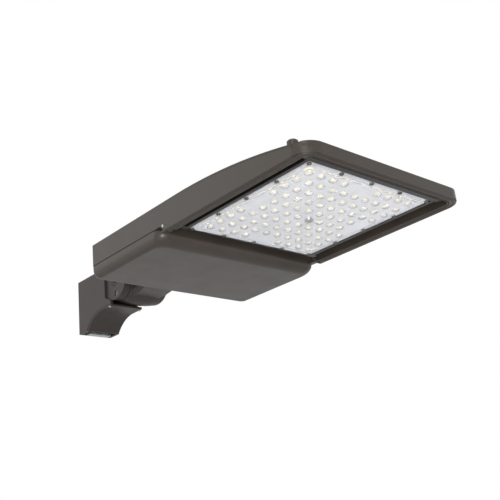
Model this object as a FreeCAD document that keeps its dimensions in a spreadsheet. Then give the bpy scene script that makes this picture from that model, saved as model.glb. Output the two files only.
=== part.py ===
import FreeCAD, Part
import math
import os

import Sketcher

# Pole-mounted shoebox area light.  Millimetres.
# X runs from the pole to the nose, Y across the light, Z up.
# The origin is the centre of the face that sits on the pole.

SIZES = {
    # pole bracket
    "bracket_half_width": 33.0,
    "bracket_half_height": 50.0,
    "bracket_depth": 93.0,
    "bracket_wall": 5.0,
    "pole_wall": 6.0,
    "foot_depth": 34.0,
    "cheek_nose": 110.0,
    "pole_gasket_thick": 3.0,
    "pole_hole_spacing": 67.3,
    "pole_hole_radius": 5.6,
    "wire_hole_radius": 10.0,
    "plate_half_width": 22.0,
    "plate_thick": 3.5,
    "plate_lip": 9.0,
    "cover_thick": 3.0,
    "cover_low": 24.0,
    "cover_arc_end": 84.0,
    "cover_arc_radius": 62.5,
    # knuckle
    "pivot_x": 120.0,
    "pivot_z": 18.0,
    "ear_radius": 33.3,
    "ear_outer": 29.0,
    "ear_thick": 14.0,
    "hub_gap": 1.2,
    "hub_radius": 33.5,
    "hub_bulge": 4.0,
    "hub_length": 82.0,
    "hub_edge": 12.0,
    "hub_clearance": 1.6,
    "pivot_bolt_radius": 5.0,
    "pivot_head_radius": 8.0,
    "pivot_head_tall": 6.0,
    "bolt_clearance": 0.3,
    "lock_drop": 23.3,
    "lock_forward": 2.3,
    "lock_radius": 2.5,
    "lock_head_radius": 4.0,
    "cover_screw_radius": 1.4,
    "pivot_nut_radius": 9.2,
    "pivot_nut_tall": 8.0,
    "pivot_washer_thick": 1.5,
    "nut_recess": 12.0,
    # neck of the arm
    "neck_half_height": 28.5,
    "neck_start": 40.0,
    "flange_half_width": 44.0,
    "flange_half_height": 16.5,
    "flange_thick": 7.0,
    "arm_gasket_thick": 2.0,
    "arm_bolt_radius": 3.0,
    "arm_wire_radius": 6.5,
    "arm_bolt_side": 34.0,
    "arm_bolt_level": 7.0,
    "neck_chamfer": 7.0,
    "neck_inset": 1.5,
    "foot_inset": 3.0,
    # housing
    "rear_x": 250.0,
    "nose_x": 720.5,
    "half_width": 155.0,
    "rim_lip": 1.2,
    "rim_tall": 5.0,
    "rim_low": 25.7,
    "seam_low": 17.5,
    "top_high": 18.4,
    "bend_x": 470.0,
    "nose_top_low": 10.5,
    "nose_land": 15.0,
    "housing_wall": 4.0,
    "roof_thick": 6.0,
    "nose_corner": 28.0,
    "rear_corner": 8.0,
    "shoulder": 5.0,
    "rim_wall": 4.5,
    "rail_inner": 141.0,
    "rail_start": 450.0,
    "rail_end": 707.0,
    "rail_round": 4.0,
    "lug_radius": 4.5,
    "lug_offset": 6.0,
    "step_x": 433.0,
    "partition_x": 426.0,
    "partition_thick": 10.0,
    "channel_ceiling": 10.0,
    "fin_count": 17.0,
    "fin_pitch": 14.0,
    "fin_slot": 9.5,
    "fin_start": 452.0,
    "fin_floor": 5.0,
    "boss_x": 691.0,
    "boss_inset": 9.0,
    "boss_radius": 7.0,
    "boss_tall": 5.0,
    # optics
    "lens_x": 450.0,
    "lens_side": 240.0,
    "lens_low": 20.0,
    "lens_thick": 3.0,
    "lens_field_inset": 12.0,
    "lens_field_rise": 1.5,
    "lens_corner": 6.0,
    "led_pitch": 21.6,
    "led_side": 5.0,
    "led_tall": 0.7,
    "dome_radius": 6.2,
    "dome_rise": 3.6,
    "dome_tier_radius": 4.6,
    "dome_tier_rise": 2.4,
    "dome_top_radius": 2.2,
    "board_thick": 1.2,
    "pad_thick": 0.5,
    "gasket_thick": 2.5,
    "gasket_width": 8.5,
    "frame_side": 6.5,
    "frame_end": 8.6,
    "frame_rear": 2.6,
    "frame_low": 0.8,
    "frame_tall": 6.3,
    "frame_clearance": 0.6,
    "lens_screw_inset": 4.5,
    "lens_screw_radius": 1.5,
    "lens_screw_head": 3.2,
    "screw_clearance": 0.15,
    "lens_screw_depth": 7.0,
    # door
    "door_low": 38.2,
    "door_gap": 0.4,
    "door_flat_half_width": 144.0,
    "door_flat_end": 412.0,
    "door_front_x": 432.0,
    "door_side_land": 6.5,
    "door_front_land": 5.6,
    "door_front_radius": 28.0,
    "door_side_radius": 26.0,
    "door_wall": 3.0,
    "door_corner": 4.0,
    "hinge_x": 440.0,
    "hinge_low": 19.0,
    "hinge_pin_radius": 2.0,
    "hinge_clearance": 0.05,
    "hinge_ear_radius": 6.0,
    "hinge_ear_width": 9.0,
    "hinge_side_gap": 1.0,
    "link_foot": 8.0,
    "link_rise": 0.8,
    "link_reach": 10.5,
    "link_drop": 14.0,
    "door_screw_side": 95.0,
    "door_screw_low": 27.0,
    "door_screw_radius": 2.5,
    "door_screw_head": 5.0,
    "door_screw_head_tall": 4.0,
    "latch_tab_x": 256.5,
    "latch_tab_thick": 3.0,
    "latch_tab_half_width": 11.0,
    "door_gasket_thick": 3.0,
    "door_gasket_width": 2.6,
    # driver compartment
    "driver_x": 290.0,
    "driver_wide": 68.0,
    "driver_long": 200.0,
    "driver_tall": 36.0,
    "driver_tab": 12.0,
    "surge_x": 384.0,
    "surge_y": 70.0,
    "surge_radius": 15.0,
    "surge_tall": 26.0,
    "terminal_x": 386.0,
    "terminal_y": 60.0,
    "terminal_wide": 16.0,
    "terminal_long": 46.0,
    "terminal_tall": 20.0,
    "driver_screw_radius": 2.0,
    "grommet_radius": 6.0,
    "vent_y": 110.0,
    "vent_radius": 6.0,
}

doc = FreeCAD.newDocument("area_light")
sheet = doc.addObject("Spreadsheet::Sheet", "dims")
for row, (alias, number) in enumerate(SIZES.items(), start=1):
    sheet.set("A%d" % row, alias)
    sheet.set("B%d" % row, str(number))
    sheet.setAlias("B%d" % row, alias)
doc.recompute()


class Size:
    """A length with its number now and the sheet expression behind it."""

    def __init__(self, number, text):
        self.number = float(number)
        self.text = text

    def join(self, other, sign, number):
        return Size(number, "(%s %s %s)" % (self.text, sign, as_size(other).text))

    def __add__(self, other):
        return self.join(other, "+", self.number + as_size(other).number)

    def __sub__(self, other):
        return self.join(other, "-", self.number - as_size(other).number)

    def __mul__(self, other):
        return self.join(other, "*", self.number * as_size(other).number)

    def __truediv__(self, other):
        return self.join(other, "/", self.number / as_size(other).number)

    def __radd__(self, other):
        return as_size(other) + self

    def __rsub__(self, other):
        return as_size(other) - self

    def __rmul__(self, other):
        return as_size(other) * self

    def __neg__(self):
        return as_size(0) - self


def as_size(value):
    """A plain number as a Size; a Size as it is."""
    if isinstance(value, Size):
        return value
    return Size(value, "%.6g" % value if value >= 0 else "(%.6g)" % value)


class Sizes:
    """The sheet's sizes as attributes."""

    def __getattr__(self, alias):
        return Size(SIZES[alias], "dims." + alias)


dim = Sizes()
ZERO = as_size(0)


def bind(target, path, size):
    target.setExpression(path, as_size(size).text)


class Bend:
    """An outline point reached by an arc of the given radius, centre to the left (1) or right (-1)."""

    def __init__(self, across, up, radius, side):
        self.point = (across, up)
        self.radius = radius
        self.side = side


def arc_geometry(start, end, radius, side):
    """The shorter arc of this radius from start to end."""
    half = (end - start) * 0.5
    rise = math.sqrt(max(radius * radius - half.Length * half.Length, 0.0))
    left = FreeCAD.Vector(-half.y, half.x, 0).normalize()
    centre = start + half + left * (rise * side)
    first = math.atan2(start.y - centre.y, start.x - centre.x)
    last = math.atan2(end.y - centre.y, end.x - centre.x)
    circle = Part.Circle(centre, FreeCAD.Vector(0, 0, 1), radius)
    if side > 0:
        return Part.ArcOfCircle(circle, first, last), False
    return Part.ArcOfCircle(circle, last, first), True


class Piece:
    """One PartDesign body whose features are bound to the sheet."""

    NORMAL_SIGN = {"XY_Plane": 1, "XZ_Plane": -1, "YZ_Plane": 1}

    def __init__(self, label, place=(ZERO, ZERO, ZERO)):
        self.label = label
        self.body = doc.addObject("PartDesign::Body", label)
        self.body.Label = label
        for axis, size in zip("xyz", place):
            bind(self.body, ".Placement.Base.%s" % axis, size)
        self.count = 0

    def name(self, kind):
        self.count += 1
        return "%s_%s_%d" % (self.label, kind, self.count)

    def sketch(self, plane, level):
        """An empty sketch parallel to an origin plane, at a level along that plane's world axis."""
        sketch = self.body.newObject("Sketcher::SketchObject", self.name("sketch"))
        origin = [item for item in self.body.Origin.OriginFeatures if item.Role == plane][0]
        sketch.AttachmentSupport = [(origin, "")]
        sketch.MapMode = "FlatFace"
        shift = as_size(level) * self.NORMAL_SIGN[plane]
        bind(sketch, ".AttachmentOffset.Base.z", shift)
        return sketch

    def hold_point(self, sketch, geometry, end, point):
        """Pins one end of a sketch edge at its two sizes from the sketch origin."""
        for kind, size in zip(("DistanceX", "DistanceY"), point):
            size = as_size(size)
            index = sketch.addConstraint(
                Sketcher.Constraint(kind, -1, 1, geometry, end, size.number)
            )
            bind(sketch, "Constraints[%d]" % index, size)

    def outline(self, plane, level, points):
        """A closed outline of lines and bends through the given points."""
        sketch = self.sketch(plane, level)
        corners = [item.point if isinstance(item, Bend) else item for item in points]
        spots = [FreeCAD.Vector(as_size(a).number, as_size(b).number, 0) for a, b in corners]
        joints = []
        for index in range(len(points)):
            following = (index + 1) % len(points)
            goal = points[following]
            if isinstance(goal, Bend):
                radius = as_size(goal.radius)
                arc, swapped = arc_geometry(spots[index], spots[following], radius.number, goal.side)
                edge = sketch.addGeometry(arc)
                rule = sketch.addConstraint(Sketcher.Constraint("Radius", edge, radius.number))
                bind(sketch, "Constraints[%d]" % rule, radius)
                joints.append((edge, 2, 1) if swapped else (edge, 1, 2))
            else:
                edge = sketch.addGeometry(Part.LineSegment(spots[index], spots[following]))
                joints.append((edge, 1, 2))
        for index, (edge, start, end) in enumerate(joints):
            after = joints[(index + 1) % len(joints)]
            sketch.addConstraint(Sketcher.Constraint("Coincident", edge, end, after[0], after[1]))
            self.hold_point(sketch, edge, start, corners[index])
        return sketch

    def circles(self, plane, level, centres, radius):
        """Equal circles at the given centres."""
        sketch = self.sketch(plane, level)
        radius = as_size(radius)
        for across, up in centres:
            spot = FreeCAD.Vector(as_size(across).number, as_size(up).number, 0)
            edge = sketch.addGeometry(Part.Circle(spot, FreeCAD.Vector(0, 0, 1), radius.number))
            rule = sketch.addConstraint(Sketcher.Constraint("Radius", edge, radius.number))
            bind(sketch, "Constraints[%d]" % rule, radius)
            self.hold_point(sketch, edge, 3, (across, up))
        return sketch

    def extrude(self, kind, make, plane, low, high):
        """Pads or pockets a sketch between two levels on the plane's world axis."""
        sign = self.NORMAL_SIGN[plane]
        near, far = (low, high) if sign > 0 else (high, low)
        pad = kind == "Pad"
        sketch = make(near if pad else far)
        before = self.body.Shape.Volume if self.count > 1 and self.body.Tip else 0.0
        feature = self.body.newObject("PartDesign::" + kind, self.name(kind.lower()))
        feature.Profile = sketch
        bind(feature, "Length", as_size(high) - low)
        doc.recompute()
        change = self.body.Shape.Volume - before
        if (pad and change <= 0) or (not pad and change >= 0):
            raise RuntimeError("%s changes nothing in %s" % (feature.Name, self.label))
        return feature

    def add(self, plane, points, low, high):
        return self.extrude("Pad", lambda at: self.outline(plane, at, points), plane, low, high)

    def cut(self, plane, points, low, high):
        return self.extrude("Pocket", lambda at: self.outline(plane, at, points), plane, low, high)

    def add_discs(self, plane, centres, radius, low, high):
        return self.extrude(
            "Pad", lambda at: self.circles(plane, at, centres, radius), plane, low, high
        )

    def bore(self, plane, centres, radius, low, high):
        return self.extrude(
            "Pocket", lambda at: self.circles(plane, at, centres, radius), plane, low, high
        )

    def revolve(self, plane, points, axis):
        """Turns an outline about its sketch's upright (V_Axis) or level (H_Axis) axis."""
        sketch = self.outline(plane, ZERO, points)
        feature = self.body.newObject("PartDesign::Revolution", self.name("revolution"))
        feature.Profile = sketch
        feature.ReferenceAxis = (sketch, [axis])
        feature.Angle = 360
        doc.recompute()
        return feature

    def loft(self, plane, first, first_level, second, second_level):
        start = self.outline(plane, first_level, first)
        end = self.outline(plane, second_level, second)
        feature = self.body.newObject("PartDesign::AdditiveLoft", self.name("loft"))
        feature.Profile = start
        feature.Sections = [(end, [""])]
        doc.recompute()
        if "Invalid" in feature.State:
            raise RuntimeError("cannot loft " + self.label)
        return feature

    def repeat(self, feature, plane_axis, step, count):
        """Repeats one feature in a row along a sketch axis."""
        pattern = self.body.newObject("PartDesign::LinearPattern", self.name("row"))
        pattern.Originals = [feature]
        pattern.Direction = (feature.Profile[0], [plane_axis])
        bind(pattern, "Length", step * (as_size(count) - 1))
        pattern.Occurrences = int(as_size(count).number)
        self.body.Tip = pattern
        doc.recompute()
        return pattern

    def round(self, radius, chosen):
        """Rounds every edge for which chosen(edge) is true."""
        tip = self.body.Tip
        names = [
            "Edge%d" % (index + 1) for index, edge in enumerate(tip.Shape.Edges) if chosen(edge)
        ]
        if not names:
            raise RuntimeError("no edges to round in " + self.label)
        feature = self.body.newObject("PartDesign::Fillet", self.name("fillet"))
        feature.Base = (tip, names)
        bind(feature, "Radius", radius)
        doc.recompute()
        if "Invalid" in feature.State:
            raise RuntimeError("cannot round %s: %s" % (self.label, names))
        return feature


def rectangle(low_across, high_across, low_up, high_up):
    return [
        (low_across, low_up),
        (high_across, low_up),
        (high_across, high_up),
        (low_across, high_up),
    ]


def rounded(low_across, high_across, low_up, high_up, radius):
    """A rectangle with round corners."""
    return [
        Bend(low_across + radius, low_up, radius, 1),
        (high_across - radius, low_up),
        Bend(high_across, low_up + radius, radius, 1),
        (high_across, high_up - radius),
        Bend(high_across - radius, high_up, radius, 1),
        (low_across + radius, high_up),
        Bend(low_across, high_up - radius, radius, 1),
        (low_across, low_up + radius),
    ]


def chamfered(low_across, high_across, low_up, high_up, size):
    """A rectangle with cut corners."""
    return [
        (low_across + size, low_up),
        (high_across - size, low_up),
        (high_across, low_up + size),
        (high_across, high_up - size),
        (high_across - size, high_up),
        (low_across + size, high_up),
        (low_across, high_up - size),
        (low_across, low_up + size),
    ]


def upright(edge, tolerance=0.01):
    """True for an edge that stands along Z."""
    box = edge.BoundBox
    return box.XLength < tolerance and box.YLength < tolerance


def near(value, size, tolerance=0.05):
    return abs(value - as_size(size).number) < tolerance


def group(label, source, places):
    """Copies of one solid at several places, kept as separate solids of one piece."""
    item = doc.addObject("Part::Feature", label)
    item.Label = label
    copies = []
    for place in places:
        copy = source.copy()
        copy.translate(FreeCAD.Vector(*[as_size(value).number for value in place]))
        copies.append(copy)
    item.Shape = Part.makeCompound(copies)
    item.Placement = FreeCAD.Placement()
    return item


PIECES = []


def keep(item):
    """Lists a finished piece for writing."""
    PIECES.append(item.body if isinstance(item, Piece) else item)
    return item


# ---------------------------------------------------------------- pole bracket

pole_holes = [(ZERO, dim.pole_hole_spacing / 2), (ZERO, -dim.pole_hole_spacing / 2)]
pole_wall_out = dim.pole_gasket_thick + dim.pole_wall
bracket_inside = dim.bracket_half_width - dim.bracket_wall
hub_start = -dim.ear_outer + dim.ear_thick + dim.hub_gap
hub_end = hub_start + dim.hub_length
pivot = (dim.pivot_x, dim.pivot_z)
cover_top = -dim.cover_low + dim.cover_thick


def make_pole_gasket():
    edge = 2
    gasket = Piece("pole_gasket")
    half = dim.bracket_half_width - edge
    tall = dim.bracket_half_height - edge
    gasket.add("YZ_Plane", rectangle(-half, half, -tall, tall), ZERO, dim.pole_gasket_thick)
    gasket.bore("YZ_Plane", pole_holes, dim.pole_hole_radius, ZERO, dim.pole_gasket_thick)
    gasket.bore("YZ_Plane", [(ZERO, ZERO)], dim.wire_hole_radius, ZERO, dim.pole_gasket_thick)
    keep(gasket)


def cheek_outline():
    """The bracket seen from the side, with the hollow curve that the cover closes."""
    arc = dim.cover_arc_radius + dim.cover_thick
    drop = dim.bracket_half_height - 5
    return [
        (dim.pole_gasket_thick, -dim.bracket_half_height),
        (dim.foot_depth - dim.cover_thick, -dim.bracket_half_height),
        (dim.foot_depth - dim.cover_thick, -drop),
        Bend(dim.cover_arc_end, cover_top, arc, -1),
        (dim.cheek_nose, cover_top),
        (dim.cheek_nose, cover_top + 7),
        (dim.bracket_depth, cover_top + 15),
        (dim.bracket_depth, dim.bracket_half_height),
        (dim.pole_gasket_thick, dim.bracket_half_height),
    ]


def cover_screw_spots():
    """One screw in the middle of each cheek's wall, near the cover's front edge."""
    middle = bracket_inside + dim.bracket_wall / 2
    return [(dim.cheek_nose - 5, side * middle) for side in (-1, 1)]


def make_bracket_casting():
    casting = Piece("bracket_casting")
    half = dim.bracket_half_width
    casting.add("XZ_Plane", cheek_outline(), -half, half)
    far = dim.cheek_nose + 1
    roof = dim.bracket_half_height - dim.bracket_wall
    floor = -dim.bracket_half_height - 1
    casting.cut(
        "XZ_Plane", rectangle(pole_wall_out, far, floor, roof), -bracket_inside, bracket_inside
    )
    ear_inner = -dim.ear_outer + dim.ear_thick
    web_start = dim.bracket_depth - 28
    web = rectangle(web_start, dim.pivot_x, dim.pivot_z - 26, dim.bracket_half_height)
    casting.add("XZ_Plane", web, -dim.ear_outer, ear_inner)
    casting.add_discs("XZ_Plane", [pivot], dim.ear_radius, -dim.ear_outer, ear_inner)
    crop = rectangle(
        dim.bracket_depth,
        dim.pivot_x + dim.ear_radius + 1,
        dim.pivot_z + dim.ear_radius - 8,
        dim.bracket_half_height + 10,
    )
    casting.cut("XZ_Plane", crop, -dim.ear_outer - 1, ear_inner + 1)
    sweep = dim.hub_radius + dim.hub_bulge + dim.hub_clearance
    casting.bore("XZ_Plane", [pivot], sweep, ear_inner, half + 1)
    casting.bore("XZ_Plane", [pivot], dim.pivot_bolt_radius + dim.bolt_clearance, -half, ear_inner)
    head_room = dim.pivot_head_radius + 1
    seat = -dim.ear_outer + dim.pivot_head_tall
    casting.bore("XZ_Plane", [pivot], head_room, -dim.ear_outer, seat)
    lock = [(dim.pivot_x + dim.lock_forward, dim.pivot_z - dim.lock_drop)]
    casting.bore("XZ_Plane", lock, dim.lock_radius + dim.screw_clearance, -half, ear_inner)
    casting.bore("XZ_Plane", lock, dim.lock_head_radius + 0.75, -dim.ear_outer, seat)
    screw_hole = dim.cover_screw_radius + dim.screw_clearance
    casting.bore("XY_Plane", cover_screw_spots(), screw_hole, cover_top, cover_top + 6.5)
    casting.bore("YZ_Plane", pole_holes, dim.pole_hole_radius, ZERO, pole_wall_out)
    casting.bore("YZ_Plane", [(ZERO, ZERO)], dim.wire_hole_radius, ZERO, pole_wall_out)
    keep(casting)


def make_pole_plate():
    """Galvanised backing plate with a turned lip that shows at the open bottom."""
    plate = Piece("pole_plate")
    half = dim.plate_half_width
    low = -dim.bracket_half_height - 2
    high = dim.bracket_half_height - dim.bracket_wall - 1
    out = pole_wall_out + dim.plate_thick
    plate.add("YZ_Plane", rectangle(-half, half, low, high), pole_wall_out, out)
    plate.add("YZ_Plane", rectangle(-half, half, low, low + dim.plate_thick), out, out + dim.plate_lip)
    plate.bore("YZ_Plane", pole_holes, dim.pole_hole_radius, pole_wall_out, out)
    plate.bore("YZ_Plane", [(ZERO, ZERO)], dim.wire_hole_radius, pole_wall_out, out)
    keep(plate)


def make_bracket_cover():
    """Hollow-curved front cover, turned forward into a flange at its top."""
    cover = Piece("bracket_cover")
    drop = dim.bracket_half_height - 5
    inner = dim.foot_depth - dim.cover_thick
    profile = [
        (inner, -dim.bracket_half_height),
        (dim.foot_depth, -dim.bracket_half_height),
        (dim.foot_depth, -drop - dim.cover_thick),
        Bend(dim.cover_arc_end, -dim.cover_low, dim.cover_arc_radius, -1),
        (dim.cheek_nose + 1, -dim.cover_low),
        (dim.cheek_nose + 1, cover_top),
        (dim.cover_arc_end, cover_top),
        Bend(inner, -drop, dim.cover_arc_radius + dim.cover_thick, 1),
    ]
    half = dim.bracket_half_width - 0.6
    cover.add("XZ_Plane", profile, -half, half)
    screw_hole = dim.cover_screw_radius + dim.screw_clearance
    cover.bore("XY_Plane", cover_screw_spots(), screw_hole, -dim.cover_low, cover_top)
    keep(cover)


def pan_screw(shank_radius, reach, head_radius, head_tall, direction):
    """A screw whose head's underside is at the origin and whose shank runs along direction."""
    along = FreeCAD.Vector(*direction)
    base = FreeCAD.Vector(0, 0, 0)
    shank = Part.makeCylinder(as_size(shank_radius).number, as_size(reach).number, base, along)
    tall = as_size(head_tall).number
    head = Part.makeCylinder(as_size(head_radius).number, tall, along * -tall, along)
    return shank.fuse(head).removeSplitter()


UP = (0, 0, 1)
FORWARD = (1, 0, 0)
BACK = (-1, 0, 0)


def make_cover_screws():
    """Screws up through the cover's flange into the cheeks."""
    screw = pan_screw(dim.cover_screw_radius, 5, dim.cover_screw_radius * 1.7, 1.6, UP)
    keep(group("cover_screws", screw, [(x, y, -dim.cover_low) for x, y in cover_screw_spots()]))


def make_pivot_bolt():
    bolt = Piece("pivot_bolt", (dim.pivot_x, ZERO, dim.pivot_z))
    head_in = -dim.ear_outer + dim.pivot_head_tall
    middle = [(ZERO, ZERO)]
    bolt.add_discs("XZ_Plane", middle, dim.pivot_head_radius, -dim.ear_outer, head_in)
    tip = hub_end - 1
    bolt.add_discs("XZ_Plane", middle, dim.pivot_bolt_radius, head_in, tip)
    flat = dim.pivot_head_radius * 0.5
    bolt.cut("XZ_Plane", hexagon(flat), -dim.ear_outer, head_in - 2)
    keep(bolt)


def hexagon(corner_radius):
    """A hexagon about the sketch origin."""
    points = []
    for corner in range(6):
        turn = math.radians(60 * corner)
        across = corner_radius * round(math.cos(turn), 6)
        up = corner_radius * round(math.sin(turn), 6)
        points.append((across, up))
    return points


def make_pivot_nut():
    nut = Piece("pivot_nut", (dim.pivot_x, ZERO, dim.pivot_z))
    seat = hub_end - dim.nut_recess + dim.pivot_washer_thick
    nut.add("XZ_Plane", hexagon(dim.pivot_nut_radius), seat, seat + dim.pivot_nut_tall)
    nut.bore("XZ_Plane", [(ZERO, ZERO)], dim.pivot_bolt_radius, seat, seat + dim.pivot_nut_tall)
    keep(nut)


def make_washer(label, outer, low, high):
    washer = Piece(label, (dim.pivot_x, ZERO, dim.pivot_z))
    washer.add_discs("XZ_Plane", [(ZERO, ZERO)], outer, low, high)
    washer.bore(
        "XZ_Plane", [(ZERO, ZERO)], dim.pivot_bolt_radius + dim.bolt_clearance, low, high
    )
    keep(washer)


def make_lock_screw():
    """Socket screw in the ear that clamps the hub at its set angle."""
    screw = Piece("tilt_lock_screw")
    middle = [(dim.pivot_x + dim.lock_forward, dim.pivot_z - dim.lock_drop)]
    seat = -dim.ear_outer + dim.pivot_head_tall
    face = -dim.ear_outer + 2
    tip = -dim.ear_outer + dim.ear_thick + dim.hub_gap * 0.5
    screw.add_discs("XZ_Plane", middle, dim.lock_head_radius, face, seat)
    screw.add_discs("XZ_Plane", middle, dim.lock_radius, seat, tip)
    screw.bore("XZ_Plane", middle, dim.lock_head_radius * 0.55, face, seat - 1.5)
    keep(screw)


# ---------------------------------------------------------------- knuckle arm

flange_face = dim.rear_x - dim.arm_gasket_thick
arm_bolts = [
    (side * dim.arm_bolt_side, level * dim.arm_bolt_level) for side in (-1, 1) for level in (-1, 1)
]


def make_knuckle_arm():
    """Barrel-shaped hub, with a neck that spreads into the flange on the housing."""
    arm = Piece("knuckle_arm", (dim.pivot_x, ZERO, dim.pivot_z))
    crown_end = hub_end - dim.hub_edge
    half = (crown_end - hub_start) / 2
    crown = (half * half + dim.hub_bulge * dim.hub_bulge) / (dim.hub_bulge * 2)
    arm.revolve(
        "XY_Plane",
        [
            (ZERO, hub_start),
            (dim.hub_radius, hub_start),
            Bend(dim.hub_radius, crown_end, crown, 1),
            Bend(dim.hub_radius - dim.hub_edge, hub_end, dim.hub_edge, 1),
            (ZERO, hub_end),
        ],
        "V_Axis",
    )
    tall = dim.neck_half_height
    left = hub_start + dim.neck_inset
    right = hub_end - dim.hub_edge
    neck_end = flange_face - dim.flange_thick - dim.pivot_x
    neck = chamfered(left, right, -tall, tall, dim.neck_chamfer)
    arm.add("YZ_Plane", neck, dim.neck_start / 4, dim.neck_start)
    side = dim.flange_half_width - dim.neck_chamfer
    low = -dim.pivot_z - dim.flange_half_height + dim.foot_inset
    high = -dim.pivot_z + dim.flange_half_height - dim.foot_inset
    foot = chamfered(-side, side, low, high, dim.neck_chamfer)
    arm.loft("YZ_Plane", neck, dim.neck_start, foot, neck_end)
    arm.add(
        "YZ_Plane",
        rounded(
            -dim.flange_half_width,
            dim.flange_half_width,
            -dim.pivot_z - dim.flange_half_height,
            -dim.pivot_z + dim.flange_half_height,
            6,
        ),
        neck_end,
        flange_face - dim.pivot_x,
    )
    wire = [(ZERO, -dim.pivot_z)]
    hub_back = -dim.hub_radius - dim.hub_bulge - 1
    arm.bore("YZ_Plane", wire, dim.arm_wire_radius, hub_back, flange_face - dim.pivot_x)
    holes = [(across, up - dim.pivot_z) for across, up in arm_bolts]
    arm.bore(
        "YZ_Plane",
        holes,
        dim.arm_bolt_radius + dim.screw_clearance,
        neck_end - 1,
        flange_face - dim.pivot_x,
    )
    bolt_hole = dim.pivot_bolt_radius + dim.bolt_clearance
    arm.bore("XZ_Plane", [(ZERO, ZERO)], bolt_hole, hub_start, hub_end)
    recess = dim.pivot_nut_radius + 2
    arm.bore("XZ_Plane", [(ZERO, ZERO)], recess, hub_end - dim.nut_recess, hub_end)
    keep(arm)


def make_arm_gasket():
    gasket = Piece("arm_gasket")
    half = dim.flange_half_width - 1
    tall = dim.flange_half_height - 1
    gasket.add("YZ_Plane", rectangle(-half, half, -tall, tall), flange_face, dim.rear_x)
    gasket.bore("YZ_Plane", [(ZERO, ZERO)], dim.arm_wire_radius + 3, flange_face, dim.rear_x)
    gasket.bore("YZ_Plane", arm_bolts, dim.arm_bolt_radius + 1, flange_face, dim.rear_x)
    keep(gasket)


def make_arm_bolts():
    """Bolts from inside the housing into the arm's flange."""
    inside = dim.rear_x + dim.housing_wall
    reach = inside - flange_face + dim.flange_thick - 1
    bolt = pan_screw(dim.arm_bolt_radius, reach, dim.arm_bolt_radius * 1.6, 4, BACK)
    keep(group("arm_bolts", bolt, [(inside, across, up) for across, up in arm_bolts]))


# ---------------------------------------------------------------- housing

rim = -dim.rim_low
seam = -dim.seam_low
roof = dim.top_high - dim.roof_thick
nose_top = -dim.nose_top_low
wall_in = dim.half_width - dim.housing_wall
rim_start = dim.step_x + 8
cavity_x = dim.partition_x + dim.partition_thick
pedestal = -dim.lens_low + dim.lens_thick + dim.gasket_thick
lens_end = dim.lens_x + dim.lens_side
half_lens = dim.lens_side / 2
frame_out_y = half_lens + dim.frame_side
frame_start = dim.lens_x - dim.frame_rear
frame_finish = lens_end + dim.frame_end
hinge = (dim.hinge_x, -dim.hinge_low)
ear_out = wall_in - dim.hinge_side_gap
ear_in = ear_out - dim.hinge_ear_width


def lens_screw_spots():
    """Sixteen places round the lens plate's edge, five a side."""
    reach = half_lens - dim.lens_screw_inset
    middle_x = dim.lens_x + half_lens
    spots = []
    for column in range(-2, 3):
        for line in range(-2, 3):
            if abs(column) == 2 or abs(line) == 2:
                spots.append((middle_x + reach * (column / 2), reach * (line / 2)))
    return spots


def plan_corner(x, y, radius, end, side):
    """The waste outside a round corner at (x, y); end and side say which way is outward."""
    inside_x = x - end * radius
    inside_y = y - side * radius
    return [
        (inside_x, y),
        Bend(x, inside_y, radius, -end * side),
        (x + end * 3, inside_y),
        (x + end * 3, y + side * 3),
        (inside_x, y + side * 3),
    ]


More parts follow.
